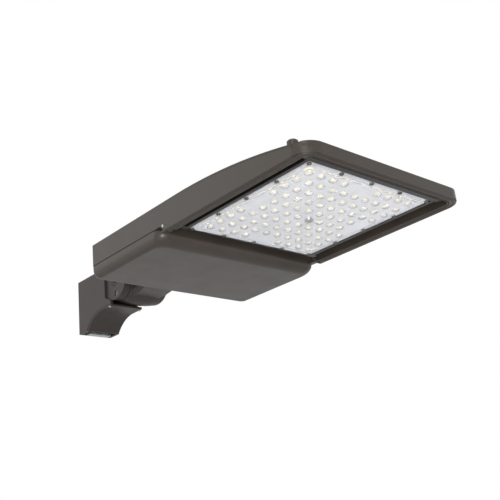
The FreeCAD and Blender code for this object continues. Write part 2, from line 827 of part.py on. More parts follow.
def make_main_housing():
    """Die-cast shell: driver bay at the rear, finned deck and deep rim round the optics."""
    housing = Piece("main_housing")
    slope_run = dim.nose_x - dim.nose_land - dim.bend_x
    slope_drop = dim.top_high + dim.nose_top_low
    slope_radius = (slope_run * slope_run + slope_drop * slope_drop) / (slope_drop * 2)
    profile = [
        (dim.rear_x, seam),
        (dim.step_x, seam),
        (rim_start, rim),
        (dim.nose_x, rim),
        (dim.nose_x, nose_top),
        (dim.nose_x - dim.nose_land, nose_top),
        Bend(dim.bend_x, dim.top_high, slope_radius, 1),
        (dim.rear_x, dim.top_high),
    ]
    housing.add("XZ_Plane", profile, -dim.half_width, dim.half_width)
    housing.round(
        dim.shoulder,
        lambda edge: near(abs(edge.BoundBox.YMax), dim.half_width)
        and near(abs(edge.BoundBox.YMin), dim.half_width)
        and edge.BoundBox.ZMin > nose_top.number - 1
        and edge.BoundBox.XLength > 5,
    )
    lip = dim.half_width + dim.rim_lip
    rim_plan = rectangle(rim_start, dim.nose_x, -lip, lip)
    housing.add("XY_Plane", rim_plan, rim, rim + dim.rim_tall)
    for side in (-1, 1):
        nose_cut = plan_corner(dim.nose_x, side * lip, dim.nose_corner, 1, side)
        housing.cut("XY_Plane", nose_cut, rim - 1, dim.top_high + 1)
        rear_cut = plan_corner(dim.rear_x, side * dim.half_width, dim.rear_corner, -1, side)
        housing.cut("XY_Plane", rear_cut, rim - 1, dim.top_high + 1)
    channel = dim.channel_ceiling
    nose_wall = dim.nose_x - dim.rim_wall
    cavity = [
        (cavity_x, rim - 1),
        (nose_wall, rim - 1),
        (nose_wall, nose_top - dim.rim_wall),
        (dim.bend_x + 170, -1.5),
        (dim.bend_x + 80, channel),
        (cavity_x, channel),
    ]
    housing.cut("XZ_Plane", cavity, -wall_in, wall_in)
    block = [
        (dim.lens_x, pedestal),
        (frame_finish - 3, pedestal),
        (frame_finish - 3, nose_top - 1),
        (dim.bend_x + 170, 0.5),
        (dim.bend_x + 80, channel + 2),
        (dim.lens_x, channel + 2),
    ]
    block_side = frame_out_y - dim.rim_wall
    housing.add("XZ_Plane", block, -block_side, block_side)
    rail = rectangle(dim.rail_start, dim.rail_end, rim, pedestal)
    housing.add("XZ_Plane", rail, -wall_in - 1, -dim.rail_inner)
    housing.add("XZ_Plane", rail, dim.rail_inner, wall_in + 1)
    for x, y in lug_spots():
        side = -1 if y.number < 0 else 1
        strap = rectangle(x - dim.lug_radius, x + dim.lug_radius, pedestal, pedestal + dim.rail_round)
        edges = sorted((side * (block_side - 1), side * (dim.rail_inner + 1)), key=lambda e: e.number)
        housing.add("XZ_Plane", strap, edges[0], edges[1])
    housing.cut(
        "XZ_Plane",
        rectangle(dim.rear_x + dim.housing_wall, dim.partition_x, seam - 1, roof),
        -wall_in,
        wall_in,
    )
    first = dim.fin_pitch * (dim.fin_count - 1) / 2
    slot = [
        (dim.fin_start, dim.top_high + 1),
        (dim.fin_start + 10, dim.fin_floor),
        (dim.bend_x + 60, dim.fin_floor),
        (dim.nose_x - 32, nose_top + 4),
        (dim.nose_x - 32, dim.top_high + 1),
    ]
    furrow = housing.cut("XZ_Plane", slot, first - dim.fin_slot / 2, first + dim.fin_slot / 2)
    housing.repeat(furrow, "N_Axis", dim.fin_pitch, dim.fin_count)
    boss = [(dim.boss_x, -dim.half_width + dim.boss_inset)]
    housing.add_discs("XY_Plane", boss, dim.boss_radius, nose_top, nose_top + dim.boss_tall + 3.5)
    for side in (-1, 1):
        low_y = side * dim.door_screw_side - dim.latch_tab_half_width
        high_y = side * dim.door_screw_side + dim.latch_tab_half_width
        tab_out = dim.latch_tab_x + dim.latch_tab_thick
        bridge = rectangle(dim.rear_x + 2, tab_out, seam, seam + 7)
        housing.add("XZ_Plane", bridge, low_y, high_y)
        tab = rectangle(dim.latch_tab_x, tab_out, -dim.door_screw_low - 5, seam + 3)
        housing.add("XZ_Plane", tab, low_y, high_y)
        slot_half = dim.door_screw_radius + 0.5
        middle = side * dim.door_screw_side
        notch = rectangle(
            middle - slot_half, middle + slot_half, -dim.door_screw_low - 6, slot_half - dim.door_screw_low
        )
        housing.cut("YZ_Plane", notch, dim.latch_tab_x - 1, tab_out + 1)
    for low_y, high_y in ((-ear_out - 0.9, -ear_in + 1), (ear_in - 1, ear_out + 0.9)):
        room = rectangle(
            dim.partition_x - 1,
            dim.hinge_x + dim.hinge_ear_radius + 2,
            rim - 1,
            -dim.hinge_low + dim.hinge_ear_radius + 1.5,
        )
        housing.cut("XZ_Plane", room, low_y, high_y)
    pin_hole = dim.hinge_pin_radius + 0.02
    whole = dim.half_width + 5
    housing.bore("XZ_Plane", [hinge], pin_hole, -whole, whole)
    wall_far = dim.rear_x + dim.housing_wall
    housing.bore("YZ_Plane", [(ZERO, ZERO)], dim.arm_wire_radius + 1, dim.rear_x, wall_far)
    arm_hole = dim.arm_bolt_radius + dim.screw_clearance
    housing.bore("YZ_Plane", arm_bolts, arm_hole, dim.rear_x, wall_far)
    housing.bore("YZ_Plane", [(dim.vent_y, ZERO)], dim.vent_radius * 0.6 + 0.1, dim.rear_x, wall_far)
    housing.bore("YZ_Plane", [(ZERO, ZERO)], dim.grommet_radius, dim.partition_x, cavity_x)
    screw_hole = dim.lens_screw_radius + dim.screw_clearance
    screw_top = pedestal + dim.lens_screw_depth
    housing.bore("XY_Plane", lens_screw_spots(), screw_hole, pedestal, screw_top)
    housing.bore("XY_Plane", [led_spot(*CENTRE_CELL)], screw_hole, pedestal, screw_top)
    housing.bore(
        "XY_Plane", boss, dim.boss_radius * 0.55, nose_top + 4, nose_top + dim.boss_tall + 4
    )
    housing.bore(
        "XY_Plane", driver_screw_spots(), dim.driver_screw_radius + 0.1, roof, roof + 4.5
    )
    keep(housing)


def make_boss_plug():
    """Push-in cap on the accessory boss near the nose."""
    plug = Piece("boss_plug")
    boss = [(dim.boss_x, -dim.half_width + dim.boss_inset)]
    top = nose_top + dim.boss_tall + 3.5
    plug.add_discs("XY_Plane", boss, dim.boss_radius * 0.8, top, top + 1.2)
    plug.add_discs("XY_Plane", boss, dim.boss_radius * 0.55 - 0.05, top - 3, top)
    keep(plug)


def make_hinge_pins():
    length = dim.half_width + 1.2 - ear_in + 1
    pin = Part.makeCylinder(
        dim.hinge_pin_radius.number, length.number, FreeCAD.Vector(0, 0, 0), FreeCAD.Vector(0, 1, 0)
    )
    outer = dim.half_width + 1.2
    starts = [-outer, outer - length]
    keep(group("hinge_pins", pin, [(dim.hinge_x, start, -dim.hinge_low) for start in starts]))


# ---------------------------------------------------------------- optics

GRID = range(10)
CENTRE_CELL = (4, 5)
EMPTY_CELLS = {(4, 0), (5, 0), (4, 9), (5, 9), (0, 4), (0, 5), (9, 4), (9, 5), CENTRE_CELL}


def led_spot(column, line):
    """Centre of one cell of the ten by ten grid."""
    middle_x = dim.lens_x + half_lens
    return (middle_x + dim.led_pitch * (column - 4.5), dim.led_pitch * (line - 4.5))


def led_spots():
    return [led_spot(c, l) for c in GRID for l in GRID if (c, l) not in EMPTY_CELLS]


lens_inner = -dim.lens_low + dim.lens_thick


def lug_spots():
    """Places of the frame's four corner lugs."""
    rear = frame_start - dim.lug_offset / 6
    front = frame_finish - dim.lug_offset / 2
    side = frame_out_y + dim.lug_offset / 2
    return [(x, way * side) for x in (rear + dim.lug_offset, front) for way in (-1, 1)]


def make_lens_frame():
    """Dark bezel ring round the lens plate."""
    frame = Piece("lens_frame")
    low = -dim.lens_low - dim.frame_low
    high = low + dim.frame_tall
    ring = rectangle(frame_start, frame_finish, -frame_out_y, frame_out_y)
    frame.add("XY_Plane", ring, low, high)
    frame.add_discs("XY_Plane", lug_spots(), dim.lug_radius, low, high)
    gap = dim.frame_clearance
    hole = rectangle(
        dim.lens_x - gap, lens_end + gap, -half_lens - gap, half_lens + gap
    )
    frame.cut("XY_Plane", hole, low, high)
    keep(frame)


def make_thermal_pad():
    pad = Piece("thermal_pad")
    inset = dim.gasket_width + 3
    area = rectangle(
        dim.lens_x + inset, lens_end - inset, -half_lens + inset, half_lens - inset
    )
    pad.add("XY_Plane", area, pedestal - dim.pad_thick, pedestal)
    hole = dim.lens_screw_radius + 1
    pad.bore("XY_Plane", [led_spot(*CENTRE_CELL)], hole, pedestal - dim.pad_thick, pedestal)
    keep(pad)


def make_led_board():
    board = Piece("led_board")
    inset = dim.gasket_width + 2
    area = rectangle(
        dim.lens_x + inset, lens_end - inset, -half_lens + inset, half_lens - inset
    )
    high = pedestal - dim.pad_thick
    low = high - dim.board_thick
    board.add("XY_Plane", area, low, high)
    board.bore("XY_Plane", [led_spot(*CENTRE_CELL)], dim.lens_screw_radius + 0.5, low, high)
    keep(board)


def make_led_packages():
    side = dim.led_side.number
    tall = dim.led_tall.number
    corner = FreeCAD.Vector(-side / 2, -side / 2, -tall)
    package = Part.makeBox(side, side, tall, corner)
    level = pedestal - dim.pad_thick - dim.board_thick
    keep(group("led_packages", package, [(x, y, level) for x, y in led_spots()]))


def make_lens_gasket():
    gasket = Piece("lens_gasket")
    area = rectangle(dim.lens_x + 1, lens_end - 1, -half_lens + 1, half_lens - 1)
    gasket.add("XY_Plane", area, lens_inner, pedestal)
    width = dim.gasket_width
    hole = rectangle(
        dim.lens_x + width + 1, lens_end - width - 1, -half_lens + width + 1, half_lens - width - 1
    )
    gasket.cut("XY_Plane", hole, lens_inner, pedestal)
    screw_hole = dim.lens_screw_radius + dim.screw_clearance
    gasket.bore("XY_Plane", lens_screw_spots(), screw_hole, lens_inner, pedestal)
    keep(gasket)


def octagon(radius, level):
    """An eight-sided wire about the Z axis."""
    corners = []
    for corner in range(9):
        turn = math.radians(45 * corner)
        place = FreeCAD.Vector(radius * math.cos(turn), radius * math.sin(turn), level)
        corners.append(place)
    corners[8] = corners[0]
    return Part.makePolygon(corners)


def make_lens_plate():
    """Clear moulded optic: screwed flange, raised field and a dome over every LED."""
    plate = Piece("lens_plate")
    area = rectangle(dim.lens_x, lens_end, -half_lens, half_lens)
    low = -dim.lens_low
    plate.add("XY_Plane", area, low, lens_inner)
    plate.round(dim.lens_corner, upright)
    inset = dim.lens_field_inset
    field = rectangle(
        dim.lens_x + inset, lens_end - inset, -half_lens + inset, half_lens - inset
    )
    field_low = low - dim.lens_field_rise
    plate.add("XY_Plane", field, field_low, low)
    screw_hole = dim.lens_screw_radius + dim.screw_clearance
    plate.bore("XY_Plane", lens_screw_spots(), screw_hole, low, lens_inner)
    plate.bore("XY_Plane", [led_spot(*CENTRE_CELL)], screw_hole, field_low, lens_inner)
    solid = plate.body.Shape
    tiers = [
        (dim.dome_radius.number, field_low.number),
        (dim.dome_tier_radius.number, field_low.number - dim.dome_tier_rise.number),
        (dim.dome_top_radius.number, field_low.number - dim.dome_rise.number),
    ]
    dome = Part.makeLoft([octagon(radius, level) for radius, level in tiers], True, True)
    domes = [dome.translated(FreeCAD.Vector(x.number, y.number, 0)) for x, y in led_spots()]
    moulded = doc.addObject("Part::Feature", "lens_plate_moulded")
    moulded.Label = "lens_plate_moulded"
    moulded.Shape = solid.multiFuse(domes)
    moulded.Placement = FreeCAD.Placement()
    plate.body.Label = "lens_plate_blank"
    moulded.Label = "lens_plate"
    keep(moulded)


def make_lens_screws():
    reach = dim.lens_thick + dim.gasket_thick + dim.lens_screw_depth - 1
    screw = pan_screw(dim.lens_screw_radius, reach, dim.lens_screw_head, 1.8, UP)
    spots = [(x, y, -dim.lens_low) for x, y in lens_screw_spots()]
    keep(group("lens_screws", screw, spots))


def make_centre_screw():
    field_low = -dim.lens_low - dim.lens_field_rise
    reach = pedestal - field_low + dim.lens_screw_depth - 1
    screw = pan_screw(dim.lens_screw_radius, reach, dim.lens_screw_head * 2, 2.2, UP)
    x, y = led_spot(*CENTRE_CELL)
    keep(group("centre_screw", screw, [(x, y, field_low)]))


# ---------------------------------------------------------------- driver bay


def driver_screw_spots():
    spots = []
    for side in (-1, 1):
        for inset in (dim.driver_tab, dim.driver_wide - dim.driver_tab):
            across = side * (dim.driver_long + dim.driver_tab) / 2
            spots.append((dim.driver_x + inset, across))
    return spots


def make_led_driver():
    """Potted power supply with a foot at each end, hung from the bay's roof."""
    driver = Piece("led_driver")
    far = dim.driver_x + dim.driver_wide
    half = dim.driver_long / 2
    driver.add("XY_Plane", rectangle(dim.driver_x, far, -half, half), roof - dim.driver_tall, roof)
    driver.round(3, lambda edge: near(edge.BoundBox.ZMax, roof - dim.driver_tall) and edge.Length > 20)
    foot = half + dim.driver_tab
    driver.add("XY_Plane", rectangle(dim.driver_x, far, -foot, foot), roof - 3, roof)
    driver.bore(
        "XY_Plane", driver_screw_spots(), dim.driver_screw_radius + 0.2, roof - 3, roof
    )
    keep(driver)


def make_driver_screws():
    screw = pan_screw(dim.driver_screw_radius, 7, dim.driver_screw_radius * 1.9, 2, UP)
    keep(group("driver_screws", screw, [(x, y, roof - 3) for x, y in driver_screw_spots()]))


def make_surge_protector():
    surge = Piece("surge_protector")
    middle = [(dim.surge_x, dim.surge_y)]
    surge.add_discs("XY_Plane", middle, dim.surge_radius, roof - dim.surge_tall, roof)
    surge.round(2, lambda edge: near(edge.BoundBox.ZMax, roof - dim.surge_tall))
    surge.add_discs("XY_Plane", middle, dim.surge_radius + 4, roof - 2.5, roof)
    keep(surge)


def make_terminal_block():
    block = Piece("terminal_block")
    half_x = dim.terminal_wide / 2
    half_y = dim.terminal_long / 2
    low = roof - dim.terminal_tall
    area = rectangle(
        dim.terminal_x - half_x,
        dim.terminal_x + half_x,
        -dim.terminal_y - half_y,
        -dim.terminal_y + half_y,
    )
    block.add("XY_Plane", area, low, roof)
    poles = [
        (dim.terminal_x, -dim.terminal_y + step * dim.terminal_long / 3) for step in (-1, 0, 1)
    ]
    block.bore("XY_Plane", poles, 3, low, low + 6)
    keep(block)


def make_wire_bushing():
    bushing = Piece("wire_bushing")
    middle = [(ZERO, ZERO)]
    inside = dim.rear_x + dim.housing_wall
    outer = dim.arm_wire_radius + 0.8
    bushing.add_discs("YZ_Plane", middle, outer, dim.rear_x - 1, inside)
    bushing.add_discs("YZ_Plane", middle, outer + 1.4, inside, inside + 2)
    bushing.bore("YZ_Plane", middle, dim.arm_wire_radius - 1.5, dim.rear_x - 1, inside + 2)
    keep(bushing)


def make_led_grommet():
    grommet = Piece("led_grommet")
    middle = [(ZERO, ZERO)]
    start = dim.partition_x - 1.5
    grommet.add_discs("YZ_Plane", middle, dim.grommet_radius + 2.5, start, dim.partition_x)
    grommet.add_discs("YZ_Plane", middle, dim.grommet_radius - 0.1, dim.partition_x, cavity_x + 1)
    grommet.bore("YZ_Plane", middle, dim.grommet_radius - 2, start, cavity_x + 1)
    keep(grommet)


def make_breather_vent():
    vent = Piece("breather_vent")
    middle = [(dim.vent_y, ZERO)]
    vent.add_discs("YZ_Plane", middle, dim.vent_radius, dim.rear_x - 3, dim.rear_x)
    shank = dim.vent_radius * 0.6
    vent.add_discs("YZ_Plane", middle, shank, dim.rear_x, dim.rear_x + dim.housing_wall + 1)
    keep(vent)


# ---------------------------------------------------------------- door

door_top = seam - dim.door_gap
door_low = -dim.door_low


def make_driver_door():
    """Drop-down cover of the driver bay, hinged at its front edge."""
    door = Piece("driver_door")
    side = dim.half_width - 0.2
    slope_top = door_top - dim.door_front_land
    door.add(
        "XZ_Plane",
        [
            (dim.rear_x, door_top),
            (dim.rear_x, door_low),
            (dim.door_flat_end, door_low),
            Bend(dim.door_front_x, slope_top, dim.door_front_radius, 1),
            (dim.door_front_x, door_top),
        ],
        -side,
        side,
    )
    land = door_top - dim.door_side_land
    for sign in (-1, 1):
        outside = sign * (dim.half_width + 2)
        corner = [
            (sign * side, land),
            Bend(sign * dim.door_flat_half_width, door_low, dim.door_side_radius, -sign),
            (sign * dim.door_flat_half_width, door_low - 1),
            (outside, door_low - 1),
            (outside, land),
        ]
        door.cut("YZ_Plane", corner, dim.rear_x - 1, dim.door_front_x + 1)
    door.round(
        dim.door_corner,
        lambda edge: near(edge.BoundBox.ZMax, door_low)
        and near(edge.BoundBox.XMax, dim.rear_x)
        and edge.Length > 50,
    )
    wall = dim.door_wall
    inner_low = door_low + wall
    bay = [
        (dim.rear_x + wall, door_top + 1),
        (dim.rear_x + wall, inner_low + 4),
        (dim.rear_x + wall + 4, inner_low),
        (dim.door_flat_end - 1, inner_low),
        (dim.door_front_x - 2 * wall, land - dim.door_front_land),
        (dim.door_front_x - 2 * wall, door_top + 1),
    ]
    narrow = dim.door_flat_half_width - 4
    door.cut("XZ_Plane", bay, -narrow, narrow)
    shelf_low = door_top - dim.door_gasket_thick
    shelf = rectangle(dim.rear_x + wall, dim.door_front_x - wall, shelf_low, door_top + 1)
    door.cut("XZ_Plane", shelf, -wall_in, wall_in)
    step = dim.door_gasket_width + 1
    middle_shelf = rectangle(
        dim.rear_x + wall, dim.door_front_x - wall - step, land - dim.door_gasket_width, door_top
    )
    door.cut("XZ_Plane", middle_shelf, step - wall_in, wall_in - step)
    radius = dim.hinge_ear_radius
    for low_y, high_y in ((-ear_out, -ear_in), (ear_in, ear_out)):
        door.add_discs("XZ_Plane", [hinge], radius, low_y, high_y)
        link = [
            (dim.door_flat_end + dim.link_foot, door_low + dim.link_rise),
            (dim.hinge_x - dim.link_reach, -dim.hinge_low - dim.link_drop),
            (dim.hinge_x, -dim.hinge_low - radius),
            (dim.hinge_x, -dim.hinge_low + 1),
            (dim.door_front_x - wall, door_top - 0.3),
            (dim.door_front_x - wall, slope_top),
        ]
        door.add("XZ_Plane", link, low_y, high_y)
    pin_hole = dim.hinge_pin_radius + dim.hinge_clearance
    door.bore("XZ_Plane", [hinge], pin_hole, -dim.half_width, dim.half_width)
    screws = [(side_y * dim.door_screw_side, -dim.door_screw_low) for side_y in (-1, 1)]
    hole = dim.door_screw_radius + 0.1
    door.bore("YZ_Plane", screws, hole, dim.rear_x - 1, dim.rear_x + wall)
    keep(door)


def make_door_gasket():
    gasket = Piece("door_gasket")
    start = dim.rear_x + dim.door_wall + 0.1
    end = dim.door_front_x - dim.door_wall - 0.3
    half = wall_in - 0.1
    width = dim.door_gasket_width
    low = door_top - dim.door_gasket_thick
    gasket.add("XY_Plane", rectangle(start, end, -half, half), low, door_top)
    hole = rectangle(start + width, end - width, -half + width, half - width)
    gasket.cut("XY_Plane", hole, low, door_top)
    keep(gasket)


def make_door_screws():
    """Captive screws through the door's rear wall into the housing's open notches."""
    tip = dim.latch_tab_x + dim.latch_tab_thick + 3
    for name, side in (("left", -1), ("right", 1)):
        screw = Piece("door_screw_" + name)
        middle = [(side * dim.door_screw_side, -dim.door_screw_low)]
        head_start = dim.rear_x - dim.door_screw_head_tall
        screw.add_discs("YZ_Plane", middle, dim.door_screw_head, head_start, dim.rear_x)
        screw.add_discs("YZ_Plane", middle, dim.door_screw_radius, dim.rear_x, tip)
        slot_half = 0.7
        across = side * dim.door_screw_side
        slot = rectangle(
            across - dim.door_screw_head - 1,
            across + dim.door_screw_head + 1,
            -dim.door_screw_low - slot_half,
            -dim.door_screw_low + slot_half,
        )
        screw.cut("YZ_Plane", slot, head_start, head_start + 1.6)
        keep(screw)


def make_door_screw_clips():
    """Retaining rings that hold the captive screws in the door."""
    start = dim.rear_x + dim.door_wall
    ring = Part.makeCylinder(3.9, 1, FreeCAD.Vector(0, 0, 0), FreeCAD.Vector(1, 0, 0))
    hole = Part.makeCylinder(
        dim.door_screw_radius.number + 0.05, 1, FreeCAD.Vector(0, 0, 0), FreeCAD.Vector(1, 0, 0)
    )
    ring = ring.cut(hole)
    spots = [(start, side * dim.door_screw_side, -dim.door_screw_low) for side in (-1, 1)]
    keep(group("door_screw_clips", ring, spots))


make_pole_gasket()
make_bracket_casting()
make_pole_plate()
make_bracket_cover()
make_cover_screws()
make_pivot_bolt()
make_pivot_nut()
nut_seat = hub_end - dim.nut_recess
make_washer("pivot_washer", dim.pivot_nut_radius + 1, nut_seat, nut_seat + dim.pivot_washer_thick)
ear_face = -dim.ear_outer + dim.ear_thick
make_washer("friction_ring", 18, ear_face, ear_face + dim.hub_gap - 0.3)
make_lock_screw()
make_knuckle_arm()
make_arm_gasket()
make_arm_bolts()
make_main_housing()
make_boss_plug()
make_hinge_pins()
make_lens_frame()
make_thermal_pad()
make_led_board()
make_led_packages()
make_lens_gasket()
make_lens_plate()
make_lens_screws()
make_centre_screw()
make_led_driver()
make_driver_screws()
make_surge_protector()
make_terminal_block()
make_wire_bushing()
make_led_grommet()
make_breather_vent()
make_driver_door()
make_door_gasket()
make_door_screws()
make_door_screw_clips()

doc.recompute()
for item in doc.Objects:
    if "Invalid" in item.State or "Error" in item.State:
        raise RuntimeError("failed: %s" % item.Label)
for piece in PIECES:
    if piece.Shape.isNull() or not piece.Shape.isValid():
        raise RuntimeError("bad shape: " + piece.Label)

os.makedirs("parts", exist_ok=True)
for piece in PIECES:
    piece.Shape.exportStep("parts/%s.step" % piece.Label)
    print(piece.Label, len(piece.Shape.Solids), round(piece.Shape.Volume))
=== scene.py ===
"""An outdoor area light on its pole bracket, seen from below: finishes, fine pieces, studio, camera."""
import logging
import math
from contextlib import contextmanager
from dataclasses import dataclass, field
from enum import Enum
from typing import Callable, Iterator, Sequence

import bpy
from mathutils import Matrix, Vector


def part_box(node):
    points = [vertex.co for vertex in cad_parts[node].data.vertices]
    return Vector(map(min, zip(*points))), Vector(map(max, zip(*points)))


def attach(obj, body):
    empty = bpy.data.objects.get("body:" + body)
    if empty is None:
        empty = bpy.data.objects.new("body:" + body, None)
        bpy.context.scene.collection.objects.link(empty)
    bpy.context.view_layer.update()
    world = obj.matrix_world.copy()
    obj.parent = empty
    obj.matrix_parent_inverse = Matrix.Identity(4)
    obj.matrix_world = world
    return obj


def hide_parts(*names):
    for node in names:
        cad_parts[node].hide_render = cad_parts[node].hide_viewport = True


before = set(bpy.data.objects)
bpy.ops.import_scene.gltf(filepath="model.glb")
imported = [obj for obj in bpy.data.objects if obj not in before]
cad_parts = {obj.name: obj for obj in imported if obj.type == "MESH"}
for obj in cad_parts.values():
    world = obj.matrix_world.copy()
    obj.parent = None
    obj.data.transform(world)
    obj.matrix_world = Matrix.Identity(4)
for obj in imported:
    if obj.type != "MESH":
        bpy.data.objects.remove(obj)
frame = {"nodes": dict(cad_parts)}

log = logging.getLogger("area_light")

MM = 0.001
LED_PITCH = 21.6 * MM
LENS_MIDDLE = (570.0 * MM, 0.0)
Colour = tuple[float, float, float, float]
Point = Sequence[float]
Tree, Node, Socket = bpy.types.NodeTree, bpy.types.Node, bpy.types.NodeSocket
Material, Piece, Face = bpy.types.Material, bpy.types.Object, bpy.types.MeshPolygon
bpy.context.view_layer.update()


class Body(Enum):
    """The moving bodies of the light."""

    BRACKET = "bracket"
    HEAD = "head"
    DOOR = "door"
    LEFT_SCREW = "left_screw"
    RIGHT_SCREW = "right_screw"


class Slot(Enum):
    """The record's material slots."""

    BRONZE = "bronze_coat"
    FRAME = "frame_coat"
    GALVANISED = "galvanised"
    STAINLESS = "stainless"
    RUBBER = "black_rubber"
    OPTIC = "clear_optic"
    BOARD = "board_white"
    PHOSPHOR = "led_phosphor"
    PAD = "thermal_grey"
    DRIVER = "driver_case"
    PLASTIC = "black_plastic"


# ---------------------------------------------------------------- node groups


class Effect:
    """A shader node group under construction, with named inputs and outputs."""

    def __init__(self, name: str) -> None:
        """Starts an empty group.

        Args:
            name: the group's name.
        """
        self.tree = bpy.data.node_groups.new(name, "ShaderNodeTree")
        self.start = self.tree.nodes.new("NodeGroupInput")
        self.end = self.tree.nodes.new("NodeGroupOutput")

    def take(self, name: str, kind: str, value: float | None = None) -> Socket:
        """Adds an input.

        Args:
            name: the input's name.
            kind: the socket type, such as Float or Vector.
            value: the value it has when nothing is set.

        Returns:
            The socket inside the group that carries it.
        """
        item = self.tree.interface.new_socket(name=name, in_out="INPUT", socket_type="NodeSocket" + kind)
        if value is not None:
            item.default_value = value
        return self.start.outputs[name]

    def give(self, name: str, kind: str, source: Socket) -> None:
        """Adds an output and feeds it.

        Args:
            name: the output's name.
            kind: the socket type.
            source: the socket inside the group that feeds it.
        """
        self.tree.interface.new_socket(name=name, in_out="OUTPUT", socket_type="NodeSocket" + kind)
        self.tree.links.new(source, self.end.inputs[name])


def node(tree: Tree, kind: str, inputs: dict | None = None, **settings: object) -> Node:
    """Adds a node, sets it up and feeds its inputs.

    Args:
        tree: the node tree.
        kind: the node type, without the ShaderNode prefix.
        inputs: values or sockets by input name or number.
        settings: attributes of the node.

    Returns:
        The node.
    """
    made = tree.nodes.new("ShaderNode" + kind)
    for key, value in settings.items():
        setattr(made, key, value)
    for key, value in (inputs or {}).items():
        if isinstance(value, Socket):
            tree.links.new(value, made.inputs[key])
        else:
            made.inputs[key].default_value = value
    return made


def spread(tree: Tree, source: Socket, low: float, high: float,
           to_low: float = 0.0, to_high: float = 1.0) -> Socket:
    """Maps a value from one range to another and clamps it.

    Args:
        tree: the node tree.
        source: the value.
        low: the value that becomes to_low.
        high: the value that becomes to_high.
        to_low: the first result.
        to_high: the second result.

    Returns:
        The mapped value.
    """
    return node(tree, "MapRange", {"Value": source, "From Min": low, "From Max": high,
                                   "To Min": to_low, "To Max": to_high}).outputs["Result"]


def combine(tree: Tree, operation: str, first: object, second: object) -> Socket:
    """One step of arithmetic on two values.

    Args:
        tree: the node tree.
        operation: the Math node's operation.
        first: a socket or a number.
        second: a socket or a number.

    Returns:
        The result.
    """
    return node(tree, "Math", {0: first, 1: second}, operation=operation).outputs[0]


def blend_colour(tree: Tree, mask: object, first: object, second: object) -> Socket:
    """Mixes two colours.

    Args:
        tree: the node tree.
        mask: 0 gives the first colour and 1 the second.
        first: a colour or a socket.
        second: a colour or a socket.

    Returns:
        The mixed colour.
    """
    mix = node(tree, "Mix", data_type="RGBA")
    for key, value in ((0, mask), (6, first), (7, second)):
        if isinstance(value, Socket):
            tree.links.new(value, mix.inputs[key])
        else:
            mix.inputs[key].default_value = value
    return mix.outputs[2]


def noise(tree: Tree, place: Socket, scale: object, detail: float = 2.0,
          rough: float = 0.5) -> Socket:
    """A noise value over the surface.

    Args:
        tree: the node tree.
        place: where on the surface.
        scale: how many features to the metre.
        detail: how many finer layers it has.
        rough: how strong the finer layers are.

    Returns:
        The value, about 0.5 in the middle.
    """
    return node(tree, "TexNoise", {"Vector": place, "Scale": scale, "Detail": detail,
                                   "Roughness": rough}).outputs[0]


def build_powder_effect() -> Tree:
    """The pebbled skin of powder coat: fine grain, slow mottling and specks.

    Returns:
        The node group.
    """
    effect = Effect("powder_skin")
    place = effect.take("Place", "Vector")
    grain = effect.take("Grain", "Float", 900.0)
    fine = noise(effect.tree, place, grain, 3.0, 0.55)
    slow = noise(effect.tree, place, 26.0, 3.0, 0.6)
    middle = noise(effect.tree, place, 190.0, 2.0, 0.5)
    effect.give("Height", "Float", combine(effect.tree, "ADD", combine(effect.tree, "MULTIPLY", fine, 0.75),
                                           combine(effect.tree, "MULTIPLY", middle, 0.25)))
    effect.give("Mottle", "Float", spread(effect.tree, slow, 0.3, 0.7))
    effect.give("Speck", "Float", spread(effect.tree, fine, 0.66, 0.78))
    return effect.tree


def build_edge_effect() -> Tree:
    """A mask that is strong on worn outer edges and weak on faces.

    Returns:
        The node group.
    """
    effect = Effect("edge_rub")
    place = effect.take("Place", "Vector")
    reach = effect.take("Reach", "Float", 0.001)
    rounded = node(effect.tree, "Bevel", {"Radius": reach}, samples=4)
    flat = node(effect.tree, "NewGeometry")
    likeness = node(effect.tree, "VectorMath", {0: rounded.outputs[0], 1: flat.outputs["Normal"]},
                    operation="DOT_PRODUCT")
    edge = spread(effect.tree, likeness.outputs["Value"], 0.985, 0.86)
    patch = spread(effect.tree, noise(effect.tree, place, 140.0, 3.0, 0.6), 0.42, 0.62, 0.25, 1.0)
    effect.give("Mask", "Float", combine(effect.tree, "MULTIPLY", edge, patch))
    return effect.tree


def build_dust_effect() -> Tree:
    """Fine dust on the faces that look up.

    Returns:
        The node group.
    """
    effect = Effect("settled_dust")
    place = effect.take("Place", "Vector")
    amount = effect.take("Amount", "Float", 0.2)
    facing = node(effect.tree, "SeparateXYZ", {0: node(effect.tree, "NewGeometry").outputs["Normal"]})
    up = spread(effect.tree, facing.outputs["Z"], 0.5, 0.98)
    patch = spread(effect.tree, noise(effect.tree, place, 34.0, 4.0, 0.65), 0.35, 0.7)
    effect.give("Mask", "Float", combine(effect.tree, "MULTIPLY", combine(effect.tree, "MULTIPLY", up, patch),
                                         amount))
    return effect.tree


def build_grain_effect() -> Tree:
    """Short scratches and grain of turned or rolled metal.

    Returns:
        The node group.
    """
    effect = Effect("metal_grain")
    place = effect.take("Place", "Vector")
    scale = effect.take("Scale", "Float", 1.0)
    long = node(effect.tree, "VectorMath", {0: place, 1: (900.0, 5000.0, 3600.0)}, operation="MULTIPLY")
    lines = noise(effect.tree, long.outputs[0], scale, 2.0, 0.6)
    smudge = noise(effect.tree, place, 160.0, 3.0, 0.6)
    effect.give("Height", "Float", lines)
    effect.give("Smudge", "Float", spread(effect.tree, smudge, 0.35, 0.65))
    return effect.tree


@dataclass
class Effects:
    """The node groups that the finishes share."""

    powder: Tree = field(default_factory=build_powder_effect)
    edge: Tree = field(default_factory=build_edge_effect)
    dust: Tree = field(default_factory=build_dust_effect)
    grain: Tree = field(default_factory=build_grain_effect)


EFFECTS = Effects()


# ------------------------------------------------------------------- finishes


